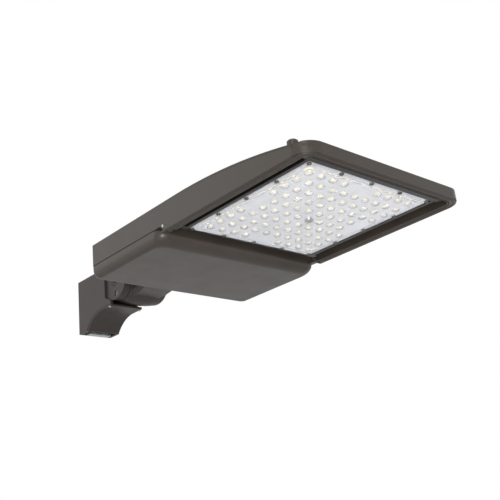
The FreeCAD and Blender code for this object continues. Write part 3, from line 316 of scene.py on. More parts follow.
class Shader:
    """A material under construction, with one Principled shader."""

    def __init__(self, name: str, **sockets: object) -> None:
        """Starts a material.

        Args:
            name: the material's name.
            sockets: uniform values for the Principled shader, with _ for spaces.
        """
        self.material = bpy.data.materials.new(name)
        self.material.use_nodes = True
        self.tree = self.material.node_tree
        self.tree.nodes.clear()
        self.output = node(self.tree, "OutputMaterial")
        self.principled = node(self.tree, "BsdfPrincipled")
        for key, value in sockets.items():
            self.principled.inputs[key.replace("_", " ")].default_value = value
        self.tree.links.new(self.principled.outputs[0], self.output.inputs["Surface"])
        self.place = node(self.tree, "TexCoord").outputs["Object"]

    def group(self, tree: Tree, **inputs: object) -> Node:
        """Places a shared effect.

        Args:
            tree: the node group.
            inputs: values for its inputs.

        Returns:
            The group node.
        """
        made = node(self.tree, "Group", node_tree=tree)
        self.tree.links.new(self.place, made.inputs["Place"])
        for key, value in inputs.items():
            made.inputs[key].default_value = value
        return made

    def feed(self, socket: str, source: Socket) -> None:
        """Links a value to the shader."""
        self.tree.links.new(source, self.principled.inputs[socket])

    def bump(self, height: Socket, depth: float, strength: float = 1.0) -> None:
        """Raises the surface by a height.

        Args:
            height: the height, from 0 to 1.
            depth: what 1 is, in metres.
            strength: how much of it shows.
        """
        made = node(self.tree, "Bump", {"Height": height, "Distance": depth, "Strength": strength})
        self.feed("Normal", made.outputs[0])


def shade_of(colour: Point, share: float) -> Colour:
    """A colour made darker or lighter.

    Args:
        colour: the colour.
        share: what each channel is multiplied by.

    Returns:
        The colour, at most white.
    """
    return (*(min(1.0, share * level) for level in colour[:3]), 1.0)


@dataclass(frozen=True)
class PowderCoat:
    """Satin powder coat on die-cast aluminium."""

    name: str
    colour: Colour
    roughness: float = 0.44
    grain: float = 900.0
    depth: float = 0.07 * MM
    dust: float = 0.10
    edge_reach: float = 1.1 * MM
    edge_wear: float = 0.4
    edge_light: float = 2.4
    dust_colour: Colour = (0.30, 0.28, 0.25, 1.0)

    def build(self) -> Material:
        """Makes the material.

        Returns:
            The material.
        """
        shader = Shader(self.name, Specular_IOR_Level=0.5)
        tree = shader.tree
        skin = shader.group(EFFECTS.powder, Grain=self.grain)
        rub = shader.group(EFFECTS.edge, Reach=self.edge_reach)
        dust = shader.group(EFFECTS.dust, Amount=self.dust)
        dull, bright = shade_of(self.colour, 0.9), shade_of(self.colour, 1.12)
        base = blend_colour(tree, skin.outputs["Mottle"], dull, bright)
        worn = combine(tree, "MULTIPLY", rub.outputs["Mask"], self.edge_wear)
        coat = blend_colour(tree, worn, base, shade_of(self.colour, self.edge_light))
        shader.feed("Base Color", blend_colour(tree, dust.outputs["Mask"], coat, self.dust_colour))
        gloss = spread(tree, skin.outputs["Mottle"], 0.0, 1.0, self.roughness - 0.04, self.roughness + 0.05)
        matt = combine(tree, "MULTIPLY", dust.outputs["Mask"], 0.3)
        shader.feed("Roughness", combine(tree, "ADD", gloss, matt))
        shader.bump(skin.outputs["Height"], self.depth, 0.7)
        return shader.material


@dataclass(frozen=True)
class BareMetal:
    """Plain metal, turned, rolled or cast."""

    name: str
    colour: Colour
    roughness: float = 0.3
    depth: float = 0.02 * MM
    edge_reach: float = 0.3 * MM
    edge_colour: Colour = (0.86, 0.86, 0.85, 1.0)

    def build(self) -> Material:
        """Makes the material.

        Returns:
            The material.
        """
        shader = Shader(self.name, Metallic=1.0)
        tree = shader.tree
        grain = shader.group(EFFECTS.grain, Scale=1.0)
        rub = shader.group(EFFECTS.edge, Reach=self.edge_reach)
        base = blend_colour(tree, grain.outputs["Smudge"], shade_of(self.colour, 0.78), self.colour)
        worn = combine(tree, "MULTIPLY", rub.outputs["Mask"], 0.5)
        shader.feed("Base Color", blend_colour(tree, worn, base, self.edge_colour))
        shader.feed("Roughness", spread(tree, grain.outputs["Smudge"], 0.0, 1.0, self.roughness + 0.12,
                                        self.roughness))
        shader.bump(grain.outputs["Height"], self.depth, 0.5)
        return shader.material


@dataclass(frozen=True)
class Galvanised:
    """Zinc plating with faint spangles."""

    name: str
    colour: Colour
    spangle_scale: float = 230.0
    depth: float = 0.03 * MM
    edge_reach: float = 0.6 * MM
    edge_colour: Colour = (0.8, 0.8, 0.8, 1.0)

    def build(self) -> Material:
        """Makes the material.

        Returns:
            The material.
        """
        shader = Shader(self.name, Metallic=0.9)
        tree = shader.tree
        spangle = node(tree, "TexVoronoi", {"Vector": shader.place, "Scale": self.spangle_scale})
        tone = node(tree, "SeparateColor", {0: spangle.outputs["Color"]}).outputs[0]
        rub = shader.group(EFFECTS.edge, Reach=self.edge_reach)
        base = blend_colour(tree, tone, shade_of(self.colour, 0.72), self.colour)
        worn = combine(tree, "MULTIPLY", rub.outputs["Mask"], 0.5)
        shader.feed("Base Color", blend_colour(tree, worn, base, self.edge_colour))
        shader.feed("Roughness", spread(tree, tone, 0.0, 1.0, 0.3, 0.5))
        shader.bump(noise(tree, shader.place, 700.0, 3.0), self.depth, 0.6)
        return shader.material


@dataclass(frozen=True)
class Moulded:
    """Moulded rubber or plastic, lightly textured."""

    name: str
    colour: Colour
    roughness: float = 0.6
    grain: float = 1400.0
    depth: float = 0.04 * MM
    edge_reach: float = 0.6 * MM

    def build(self) -> Material:
        """Makes the material.

        Returns:
            The material.
        """
        shader = Shader(self.name, Specular_IOR_Level=0.4)
        tree = shader.tree
        skin = shader.group(EFFECTS.powder, Grain=self.grain)
        rub = shader.group(EFFECTS.edge, Reach=self.edge_reach)
        base = blend_colour(tree, skin.outputs["Mottle"], shade_of(self.colour, 0.85), self.colour)
        pale = (*(min(1.0, 1.8 * level + 0.01) for level in self.colour[:3]), 1.0)
        worn = combine(tree, "MULTIPLY", rub.outputs["Mask"], 0.5)
        shader.feed("Base Color", blend_colour(tree, worn, base, pale))
        shader.feed("Roughness", spread(tree, skin.outputs["Mottle"], 0.0, 1.0, self.roughness - 0.06,
                                        self.roughness + 0.08))
        shader.bump(skin.outputs["Height"], self.depth, 0.6)
        return shader.material


@dataclass(frozen=True)
class ClearOptic:
    """Clear moulded optic that lets the light through to what it covers."""

    name: str
    roughness: float = 0.05
    clarity: float = 0.8
    tint: Colour = (0.965, 0.965, 0.985, 1.0)
    shadow_tint: Colour = (0.96, 0.97, 0.98, 1.0)
    depth: float = 0.02 * MM

    def build(self) -> Material:
        """Makes the material.

        Returns:
            The material.
        """
        shader = Shader(self.name, Base_Color=self.tint, Transmission_Weight=self.clarity, IOR=1.49)
        tree = shader.tree
        haze = noise(tree, shader.place, 60.0, 3.0, 0.6)
        shader.feed("Roughness", spread(tree, haze, 0.35, 0.7, self.roughness, self.roughness + 0.06))
        shader.bump(noise(tree, shader.place, 240.0, 2.0), self.depth, 0.5)
        clear = node(tree, "BsdfTransparent", {"Color": self.shadow_tint})
        rays = node(tree, "LightPath")
        both = node(tree, "MixShader", {0: rays.outputs["Is Shadow Ray"]})
        tree.links.new(shader.principled.outputs[0], both.inputs[1])
        tree.links.new(clear.outputs[0], both.inputs[2])
        tree.links.new(both.outputs[0], shader.output.inputs["Surface"])
        return shader.material


@dataclass(frozen=True)
class CircuitBoard:
    """White solder mask over copper, with the faint relief of the copper under it."""

    name: str
    colour: Colour
    pads_per_metre: float = 46.3
    pad_tones: tuple[Colour, Colour] = ((1.0, 1.0, 1.0, 1.0), (0.9, 0.9, 0.9, 1.0))
    relief_colour: Colour = (0.80, 0.82, 0.84, 1.0)
    depth: float = 0.04 * MM

    def build(self) -> Material:
        """Makes the material.

        Returns:
            The material.
        """
        shader = Shader(self.name, Specular_IOR_Level=0.5)
        tree = shader.tree
        cells = node(tree, "TexBrick", {"Vector": shader.place, "Scale": self.pads_per_metre,
                                        "Color1": self.pad_tones[0], "Color2": self.pad_tones[1],
                                        "Mortar": (0.0, 0.0, 0.0, 1.0), "Mortar Size": 0.02,
                                        "Brick Width": 1.0, "Row Height": 1.0})
        relief = node(tree, "SeparateColor", {0: cells.outputs["Color"]}).outputs[0]
        shade = noise(tree, shader.place, 45.0, 3.0)
        base = blend_colour(tree, spread(tree, shade, 0.35, 0.65), shade_of(self.colour, 0.93), self.colour)
        faint = combine(tree, "MULTIPLY", relief, 0.05)
        shader.feed("Base Color", blend_colour(tree, faint, base, self.relief_colour))
        shader.feed("Roughness", spread(tree, shade, 0.3, 0.7, 0.32, 0.45))
        shader.bump(relief, self.depth, 0.5)
        return shader.material


@dataclass(frozen=True)
class Phosphor:
    """White package with a yellow phosphor pool in the middle of each light source."""

    name: str
    pitch: float
    middle: tuple[float, float]
    pool: float = 1.75 * MM
    pool_edge: float = 0.15 * MM
    pool_colours: tuple[Colour, Colour] = ((0.72, 0.47, 0.07, 1.0), (0.86, 0.62, 0.14, 1.0))
    package_colour: Colour = (0.74, 0.73, 0.66, 1.0)
    depth: float = 0.02 * MM
    cells_before: float = 100.0  # keeps the cell count above nought, which FRACT needs

    def build(self) -> Material:
        """Makes the material.

        Returns:
            The material.
        """
        shader = Shader(self.name, Specular_IOR_Level=0.5)
        tree = shader.tree
        parts = node(tree, "SeparateXYZ", {0: shader.place})
        offsets = []
        for axis, centre in zip("XY", self.middle):
            along = combine(tree, "SUBTRACT", parts.outputs[axis], centre)
            cell = combine(tree, "ADD", combine(tree, "DIVIDE", along, self.pitch), self.cells_before)
            inside = combine(tree, "SUBTRACT", combine(tree, "FRACT", cell, 0.0), 0.5)
            offsets.append(combine(tree, "MULTIPLY", inside, self.pitch))
        squares = [combine(tree, "MULTIPLY", offset, offset) for offset in offsets]
        far = combine(tree, "SQRT", combine(tree, "ADD", *squares), 0.0)
        mask = spread(tree, far, self.pool + self.pool_edge, self.pool - self.pool_edge)
        tone = spread(tree, noise(tree, shader.place, 2600.0, 2.0), 0.3, 0.7)
        yellow = blend_colour(tree, tone, *self.pool_colours)
        shader.feed("Base Color", blend_colour(tree, mask, self.package_colour, yellow))
        shader.feed("Roughness", spread(tree, mask, 0.0, 1.0, 0.5, 0.28))
        shader.bump(tone, self.depth, 0.5)
        return shader.material


class Finishes:
    """Every finish of the light, made once."""

    def __init__(self) -> None:
        """Makes the materials, by record slot or by the name of a special finish."""
        makers = {
            Slot.BRONZE: PowderCoat("bronze_powder_coat", (0.042, 0.033, 0.026, 1.0), roughness=0.36),
            Slot.FRAME: PowderCoat("frame_powder_coat", (0.012, 0.010, 0.009, 1.0), roughness=0.3, dust=0.04),
            Slot.GALVANISED: Galvanised("galvanised_steel", (0.55, 0.56, 0.56, 1.0)),
            Slot.STAINLESS: BareMetal("stainless_steel", (0.62, 0.61, 0.59, 1.0), 0.24),
            Slot.RUBBER: Moulded("black_rubber", (0.011, 0.010, 0.010, 1.0), 0.62),
            Slot.OPTIC: ClearOptic("clear_optic"),
            Slot.BOARD: CircuitBoard("white_circuit_board", (0.80, 0.81, 0.82, 1.0)),
            Slot.PHOSPHOR: Phosphor("led_package", LED_PITCH, LENS_MIDDLE),
            Slot.PAD: Moulded("thermal_pad", (0.32, 0.33, 0.34, 1.0), 0.75),
            Slot.DRIVER: BareMetal("driver_case", (0.60, 0.61, 0.62, 1.0), 0.4),
            Slot.PLASTIC: Moulded("black_plastic", (0.020, 0.020, 0.021, 1.0), 0.5),
        }
        self.materials: dict[Slot | str, Material] = {
            slot: maker.build() for slot, maker in makers.items()}
        special = (BareMetal("dulled_screw", (0.22, 0.21, 0.20, 1.0), 0.34),
                   Moulded("pale_silicone", (0.76, 0.77, 0.80, 1.0), 0.6),
                   Moulded("phosphor_resin", (0.90, 0.70, 0.21, 1.0), 0.22),
                   # The bracket's coat is a darker copy of the bronze coat: painted shade on the bracket.
                   PowderCoat("bracket_coat_painted_shade", (0.030, 0.023, 0.020, 1.0), roughness=0.44, dust=0.06))
        self.materials.update({maker.name: maker.build() for maker in special})

    def dress(self, obj: Piece, finish: Slot | str) -> None:
        """Puts a finish on a piece.

        Args:
            obj: the piece.
            finish: the slot whose finish it gets, or the name of a special finish.
        """
        obj.data.materials.clear()
        obj.data.materials.append(self.materials[finish])


# -------------------------------------------------------------- modelling aids


def deselect() -> None:
    """Leaves nothing selected."""
    if bpy.context.object and bpy.context.object.mode != "OBJECT":
        bpy.ops.object.mode_set(mode="OBJECT")
    bpy.ops.object.select_all(action="DESELECT")


def choose(*objs: Piece) -> None:
    """Selects these objects only, the first of them active."""
    deselect()
    for obj in objs:
        obj.select_set(True)
    bpy.context.view_layer.objects.active = objs[0]


def name_new(name: str) -> Piece:
    """Names the primitive just added and sets its place into its mesh.

    Args:
        name: its name.

    Returns:
        The object.
    """
    obj = bpy.context.object
    obj.name = name
    obj.data.name = name
    choose(obj)
    bpy.ops.object.transform_apply(location=True, rotation=True, scale=True)
    return obj


def block(name: str, low: Point, high: Point) -> Piece:
    """A block between two corners.

    Args:
        name: its name.
        low: the lowest corner.
        high: the highest corner.

    Returns:
        The object.
    """
    deselect()
    first, last = Vector(low), Vector(high)
    bpy.ops.mesh.primitive_cube_add(size=1.0, location=(first + last) / 2, scale=last - first)
    return name_new(name)


def drum(name: str, centre: Point, radius: float, depth: float, sides: int) -> Piece:
    """An upright cylinder.

    Args:
        name: its name.
        centre: its middle.
        radius: its radius.
        depth: its height.
        sides: how many sides it has.

    Returns:
        The object.
    """
    deselect()
    bpy.ops.mesh.primitive_cylinder_add(vertices=sides, radius=radius, depth=depth, location=centre)
    return name_new(name)


@contextmanager
def editing(obj: Piece, mode: str = "FACE") -> Iterator[None]:
    """Edit mode on one object, with nothing selected at first.

    Args:
        obj: the object.
        mode: what is selected there: VERT, EDGE or FACE.
    """
    choose(obj)
    bpy.ops.object.mode_set(mode="EDIT")
    bpy.ops.mesh.select_mode(type=mode)
    bpy.ops.mesh.select_all(action="DESELECT")
    yield
    bpy.ops.object.mode_set(mode="OBJECT")


def pick_faces(obj: Piece, test: Callable[[Face], bool]) -> None:
    """Selects faces of the object in edit mode by a test of each.

    Args:
        obj: the object.
        test: says whether a face is selected.
    """
    bpy.ops.object.mode_set(mode="OBJECT")
    for item in (*obj.data.vertices, *obj.data.edges):
        item.select = False
    for face in obj.data.polygons:
        face.select = test(face)
    bpy.ops.object.mode_set(mode="EDIT")


def looks_down(face: Face) -> bool:
    """Says whether a face looks straight down."""
    return face.normal.z < -0.9


def cut_away(obj: Piece, point: Point, keep: Point) -> None:
    """Cuts a solid piece by a plane and closes the cut.

    Args:
        obj: the piece.
        point: a point on the plane.
        keep: the way from the plane to the side that stays.
    """
    with editing(obj):
        bpy.ops.mesh.select_all(action="SELECT")
        bpy.ops.mesh.bisect(plane_co=point, plane_no=keep, use_fill=True, clear_inner=True)


def modify(obj: Piece, kind: str, **settings: object) -> None:
    """Adds a modifier and applies it.

    Args:
        obj: the object.
        kind: the modifier's type.
        settings: its settings.
    """
    choose(obj)
    made = obj.modifiers.new(kind.lower(), kind)
    for key, value in settings.items():
        setattr(made, key, value)
    bpy.ops.object.modifier_apply(modifier=made.name)


def soften(obj: Piece, angle: float = 35.0) -> None:
    """Shades the object smooth up to an angle in degrees."""
    choose(obj)
    bpy.ops.object.shade_smooth_by_angle(angle=math.radians(angle))


def repeat(obj: Piece, moves: Sequence[Point]) -> Piece:
    """Copies an object to further places and joins the copies with it.

    Args:
        obj: the object, at the first place.
        moves: how far each copy is from it.

    Returns:
        The joined object.
    """
    copies = []
    for move in moves:
        copy = obj.copy()
        copy.data = obj.data.copy()
        copy.data.transform(Matrix.Translation(Vector(move)))
        bpy.context.collection.objects.link(copy)
        copies.append(copy)
    choose(obj, *copies)
    bpy.ops.object.join()
    return obj


def carve(obj: Piece, tool: Piece, operation: str) -> None:
    """Adds another piece to a piece or cuts it away, and uses it up.

    Args:
        obj: the piece that stays.
        tool: the piece that is added or cut away.
        operation: UNION or DIFFERENCE.
    """
    modify(obj, "BOOLEAN", object=tool, operation=operation, solver="EXACT")
    bpy.data.objects.remove(tool)


def pick_upright(obj: Piece, at_x: float | None = None) -> None:
    """Selects upright edges of the object in edit mode.

    Args:
        obj: the object.
        at_x: where they stand along X, or None for all of them.
    """
    bpy.ops.object.mode_set(mode="OBJECT")
    points = obj.data.vertices
    for item in (*points, *obj.data.polygons):
        item.select = False
    for edge in obj.data.edges:
        first, last = (points[index].co for index in edge.vertices)
        upright = (first.xy - last.xy).length < 1e-6
        edge.select = upright and (at_x is None or abs(first.x - at_x) < 1e-5)
    bpy.ops.object.mode_set(mode="EDIT")


def round_upright(obj: Piece, radius: float, segments: int) -> None:
    """Rounds the upright edges of a block.

    Args:
        obj: the block.
        radius: the corner's radius.
        segments: how many faces each corner has.
    """
    with editing(obj, "EDGE"):
        pick_upright(obj)
        bpy.ops.mesh.bevel(offset=radius, segments=segments, affect="EDGES")


def ring_bead(name: str, low: Point, high: Point, inset: float, level: float, radius: float,
              corner: float = 2.5 * MM, segments: int = 6) -> Piece:
    """A round bead that runs along a rectangle with round corners.

    Args:
        name: its name.
        low: the rectangle's lowest corner in plan.
        high: the rectangle's highest corner in plan.
        inset: how far inside the rectangle the bead runs.
        level: the height of its middle line.
        radius: the bead's own radius.
        corner: the radius of the path's corners.
        segments: how many runs each corner has.

    Returns:
        The object.
    """
    deselect()
    first, last = Vector((*low, 0.0)), Vector((*high, 0.0))
    middle = (first + last) / 2
    size = last - first - Vector((2 * inset, 2 * inset, 0.0))
    bpy.ops.mesh.primitive_plane_add(size=1.0, location=(middle.x, middle.y, level))
    path = name_new(name)
    with editing(path):
        bpy.ops.mesh.select_all(action="SELECT")
        bpy.ops.transform.resize(value=(size.x, size.y, 1.0), center_override=(middle.x, middle.y, level))
        bpy.ops.mesh.bevel(offset=corner, segments=segments, affect="VERTICES")
        bpy.ops.mesh.delete(type="ONLY_FACE")
    choose(path)
    bpy.ops.object.convert(target="CURVE")
    bead = bpy.context.object
    bead.data.bevel_depth = radius
    bead.data.bevel_resolution = 2
    bpy.ops.object.convert(target="MESH")
    return bpy.context.object


def cylinder_across(name: str, axis: str, centre: Point, radius: float, depth: float,
                    sides: int) -> Piece:
    """A lying cylinder.

    Args:
        name: its name.
        axis: X or Y, the way it lies.
        centre: its middle.
        radius: its radius.
        depth: its length.
        sides: how many sides it has.

    Returns:
        The object.
    """
    deselect()
    turn = (0.0, math.pi / 2, 0.0) if axis == "X" else (math.pi / 2, 0.0, 0.0)
    bpy.ops.mesh.primitive_cylinder_add(vertices=sides, radius=radius, depth=depth, location=centre,
                                        rotation=turn)
    return name_new(name)


@dataclass(frozen=True)
class PanHead:
    """A pan screw head that hangs below its seat, with a cross recess."""

    radius: float
    tall: float
    recess: float
    dish_share: float = 0.4
    crown_share: float = 0.12
    edge_share: float = 0.25
    skin_share: float = 0.35
    reach_share: float = 1.4
    arm_share: float = 1.1
    sides: int = 20

    def build(self, name: str, spot: Point, seat: float) -> Piece:
        """Turns the head and cuts its recess.

        Args:
            name: its name.
            spot: its centre in plan.
            seat: the level that it is screwed against.

        Returns:
            The head.
        """
        head = drum(name, (*spot, seat - self.tall / 2), self.radius, self.tall, self.sides)
        with editing(head):
            pick_faces(head, looks_down)
            bpy.ops.mesh.inset(thickness=self.dish_share * self.radius)
            bpy.ops.transform.translate(value=(0.0, 0.0, -self.crown_share * self.tall))
        modify(head, "BEVEL", width=self.edge_share * self.tall, segments=2, limit_method="ANGLE",
               angle_limit=math.radians(50))
        low, high = seat - self.reach_share * self.tall, seat - self.skin_share * self.tall
        arm = self.arm_share * self.radius
        for wide, deep in ((self.recess, arm), (arm, self.recess)):
            bar = block("cross_cut", (spot[0] - wide / 2, spot[1] - deep / 2, low),
                        (spot[0] + wide / 2, spot[1] + deep / 2, high))
            carve(head, bar, "DIFFERENCE")
        return head


@dataclass
class Light:
    """What the sub-assemblies share: the finishes and the CAD nodes."""

    finishes: Finishes
    nodes: dict

    def place(self, obj: Piece, body: Body, slot: Slot, *stands_for: str, finish: str = "") -> None:
        """Dresses a new piece and ties it to its body.

        Args:
            obj: the piece.
            body: the body that it rides on.
            slot: the record slot whose finish it gets.
            stands_for: the CAD nodes that it replaces.
            finish: the special finish that it gets instead.
        """
        self.finishes.dress(obj, finish or slot)
        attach(obj, body.value)
        if stands_for:
            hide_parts(*stands_for)
        log.info("built %s: %d faces on %s", obj.name, len(obj.data.polygons), body.value)

    def dress(self, finish: Slot | str, *names: str) -> None:
        """Finishes CAD nodes.

        Args:
            finish: the slot whose finish they get, or a special finish.
            names: the nodes.
        """
        for name in names:
            self.finishes.dress(self.nodes[name], finish)
            log.info("dressed %s in %s", name, self.nodes[name].data.materials[0].name)


# -------------------------------------------------------------- sub-assemblies


@dataclass
class Assembly:
    """A sub-assembly of the light."""

    light: Light

    def build(self) -> None:
        """Models the new pieces; there are none unless a sub-assembly says so."""

    def dress(self) -> None:
        """Finishes the CAD nodes."""


@dataclass
class LedField:
    """The grid of light sources behind the optic."""

    pitch: float = LED_PITCH
    middle: tuple[float, float] = LENS_MIDDLE
    cells: int = 10
    empty: tuple[tuple[int, int], ...] = (
        (4, 0), (5, 0), (4, 9), (5, 9), (0, 4), (0, 5), (9, 4), (9, 5), (4, 5))

    def cell(self, column: int, line: int) -> tuple[float, float]:
        """The centre of one cell of the grid.

        Args:
            column: how many cells along the light.
            line: how many cells across it.

        Returns:
            The centre in plan.
        """
        half = (self.cells - 1) / 2
        return (self.middle[0] + (column - half) * self.pitch, self.middle[1] + (line - half) * self.pitch)

    def spots(self) -> list[tuple[float, float]]:
        """The centre of each light source in plan."""
        return [self.cell(column, line) for column in range(self.cells) for line in range(self.cells)
                if (column, line) not in self.empty]


@dataclass(frozen=True)
class Cap:
    """A cap of a ball that hangs from a level."""

    base_radius: float
    rise: float
    foot: float
    sides: int
    rings: int

    def build(self, name: str, base: float, spots: Sequence[Point]) -> Piece:
        """Shapes one cap and copies it to each place.

        Args:
            name: the name of the caps.
            base: the level that they hang from; the foot is kept above it.
            spots: their centres in plan.

        Returns:
            All the caps as one object.
        """
        ball = (self.base_radius ** 2 + self.rise ** 2) / (2 * self.rise)
        first = Vector((*spots[0], base - self.rise + ball))
        deselect()
        bpy.ops.mesh.primitive_uv_sphere_add(segments=self.sides, ring_count=self.rings, radius=ball,
                                             location=first)
        cap = name_new(name)
        cut_away(cap, (first.x, first.y, base + self.foot), (0.0, 0.0, -1.0))
        return repeat(cap, [(x - first.x, y - first.y, 0.0) for x, y in spots[1:]])


@dataclass
class OpticModule(Assembly):
    """The lens, its screws, the board and its light sources."""

    leds: LedField = field(default_factory=LedField)
    field_inset: float = 12.0 * MM
    field_rise: float = 1.5 * MM
    field_root: float = 0.5 * MM
    flange_thick: float = 3.0 * MM
    flange_corner: float = 6.0 * MM
    field_corner: float = 4.0 * MM
    flange_edge: float = 0.7 * MM
    field_edge: float = 0.5 * MM
    dome: Cap = Cap(6.2 * MM, 3.6 * MM, 0.4 * MM, 24, 20)
    pocket: Cap = Cap(3.9 * MM, 4.5 * MM, 0.2 * MM, 20, 14)
    bead: Cap = Cap(3.6 * MM, 3.9 * MM, 0.02 * MM, 16, 12)
    gasket_wide: float = 8.5 * MM
    gasket_gap: float = 0.05 * MM
    rib_inset: float = 8.2 * MM
    rib_radius: float = 0.3 * MM
    screw_inset: float = 4.5 * MM
    screw_hole: float = 1.65 * MM
    screw_play: float = 0.15 * MM
    drill_long: float = 20.0 * MM
    head: PanHead = PanHead(3.2 * MM, 1.8 * MM, 0.8 * MM)
    centre_cell: tuple[int, int] = (4, 5)
    seal_gap: float = 0.15 * MM
    seal_rise: float = 1.0 * MM
    seal_radius: float = 0.42 * MM
    seal_corner: float = 6.2 * MM

    def screw_spots(self) -> list[tuple[float, float]]:
        """The sixteen screws round the flange, five a side.

        Returns:
            The screws' centres in plan.
        """
        low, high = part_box("lens_plate")
        half = (high.x - low.x) / 2 - self.screw_inset
        steps = [share * half for share in (-1.0, -0.5, 0.0, 0.5, 1.0)]
        middle = self.leds.middle
        return [(middle[0] + x, middle[1] + y) for x in steps for y in steps if half in (abs(x), abs(y))]

    def drills(self, name: str, level: float, sides: int, spots: Sequence[Point]) -> Piece:
        """Upright drills for screw holes.

        Args:
            name: their name.
            level: the level of their middle.
            sides: how many sides each has.
            spots: their centres in plan.

        Returns:
            The drills as one object.
        """
        drill = drum(name, (*spots[0], level), self.screw_hole, self.drill_long, sides)
        first = Vector((*spots[0], 0.0))
        return repeat(drill, [Vector((*spot, 0.0)) - first for spot in spots[1:]])

    def build_optic(self) -> None:
        """Moulds the lens plate: flange, rib, raised field and a smooth dome over each light source."""
        low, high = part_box("lens_plate")
        inner = high.z
        flange_low = inner - self.flange_thick
        field_low = flange_low - self.field_rise
        plate = block("moulded_optic", (low.x, low.y, flange_low), (high.x, high.y, inner))
        round_upright(plate, self.flange_corner, 6)
        inset = self.field_inset
        field_block = block("optic_field", (low.x + inset, low.y + inset, field_low),
                            (high.x - inset, high.y - inset, inner - self.field_root))
        round_upright(field_block, self.field_corner, 5)
        modify(plate, "BEVEL", width=self.flange_edge, segments=2, limit_method="ANGLE")
        modify(field_block, "BEVEL", width=self.field_edge, segments=2, limit_method="ANGLE")
        rib = ring_bead("optic_rib", low.xy, high.xy, self.rib_inset, flange_low, self.rib_radius)
        for tool in (field_block, rib, self.dome.build("optic_domes", field_low, self.leds.spots())):
            carve(plate, tool, "UNION")
        carve(plate, self.pocket.build("optic_pockets", inner, self.leds.spots()), "DIFFERENCE")
        spots = (*self.screw_spots(), self.leds.cell(*self.centre_cell))
        carve(plate, self.drills("optic_drill", inner, 16, spots), "DIFFERENCE")
        soften(plate, 38.0)
        modify(plate, "WEIGHTED_NORMAL", keep_sharp=True, weight=100)
        self.light.place(plate, Body.HEAD, Slot.OPTIC, "lens_plate")

    def build_phosphor(self) -> None:
        """Beads of yellow resin on the packages, inside the optic's pockets."""
        low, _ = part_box("led_packages")
        beads = self.bead.build("phosphor_beads", low.z, self.leds.spots())
        soften(beads, 40.0)
        self.light.place(beads, Body.HEAD, Slot.PHOSPHOR, finish="phosphor_resin")

    def build_gasket(self) -> None:
        """Moulds the pale silicone gasket under the flange, with a hole for each screw."""
        low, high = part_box("lens_gasket")
        gasket = block("silicone_gasket", low + Vector((0.0, 0.0, self.gasket_gap)), high)
        round_upright(gasket, self.flange_corner, 5)
        wide = self.gasket_wide
        window = block("gasket_window", (low.x + wide, low.y + wide, low.z - wide),
                       (high.x - wide, high.y - wide, high.z + wide))
        round_upright(window, self.flange_corner / 2, 5)
        carve(gasket, window, "DIFFERENCE")
        carve(gasket, self.drills("gasket_drill", low.z, 12, self.screw_spots()), "DIFFERENCE")
        soften(gasket)
        self.light.place(gasket, Body.HEAD, Slot.BOARD, "lens_gasket", finish="pale_silicone")

    def build_screws(self) -> None:
        """Turns the lens screws, each with a pan head and a shank."""
        low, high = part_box("lens_screws")
        first, *others = self.screw_spots()
        seat = low.z + self.head.tall
        screw = self.head.build("optic_screws", first, seat)
        shank = drum("optic_shank", (*first, (seat + high.z) / 2), self.screw_hole - self.screw_play,
                     high.z - seat, 16)
        choose(screw, shank)
        bpy.ops.object.join()
        repeat(screw, [(x - first[0], y - first[1], 0.0) for x, y in others])
        soften(screw)
        self.light.place(screw, Body.HEAD, Slot.STAINLESS, "lens_screws", finish="dulled_screw")

    def build_seal_shade(self) -> None:
        """Runs a black rubber seal in the gap between the lens and its frame; it also paints the shade that
        falls in the gap.
        """
        low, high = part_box("lens_plate")
        level = high.z - self.flange_thick + self.seal_rise
        # The black seal doubles as painted shade in the gap round the lens.
        seal = ring_bead("optic_seal_shade", low.xy, high.xy, -self.seal_gap, level, self.seal_radius,
                         self.seal_corner)
        soften(seal)
        self.light.place(seal, Body.HEAD, Slot.RUBBER)

    def build(self) -> None:
        """Models the module from the lens inwards, then its seal, which also paints the gap's shade."""
        self.build_optic()
        self.build_phosphor()
        self.build_gasket()
        self.build_screws()
        self.build_seal_shade()

    def dress(self) -> None:
        """Finishes the module's CAD nodes."""
        self.light.dress(Slot.BOARD, "led_board")
        self.light.dress(Slot.PHOSPHOR, "led_packages")
        self.light.dress(Slot.PAD, "thermal_pad")
        self.light.dress(Slot.STAINLESS, "centre_screw")


@dataclass(frozen=True)
class RimBead:
    """A round bead under the rim; its middle lies a share of its radius above the rim's lower face."""

    inset: float
    radius: float
    sunk: float


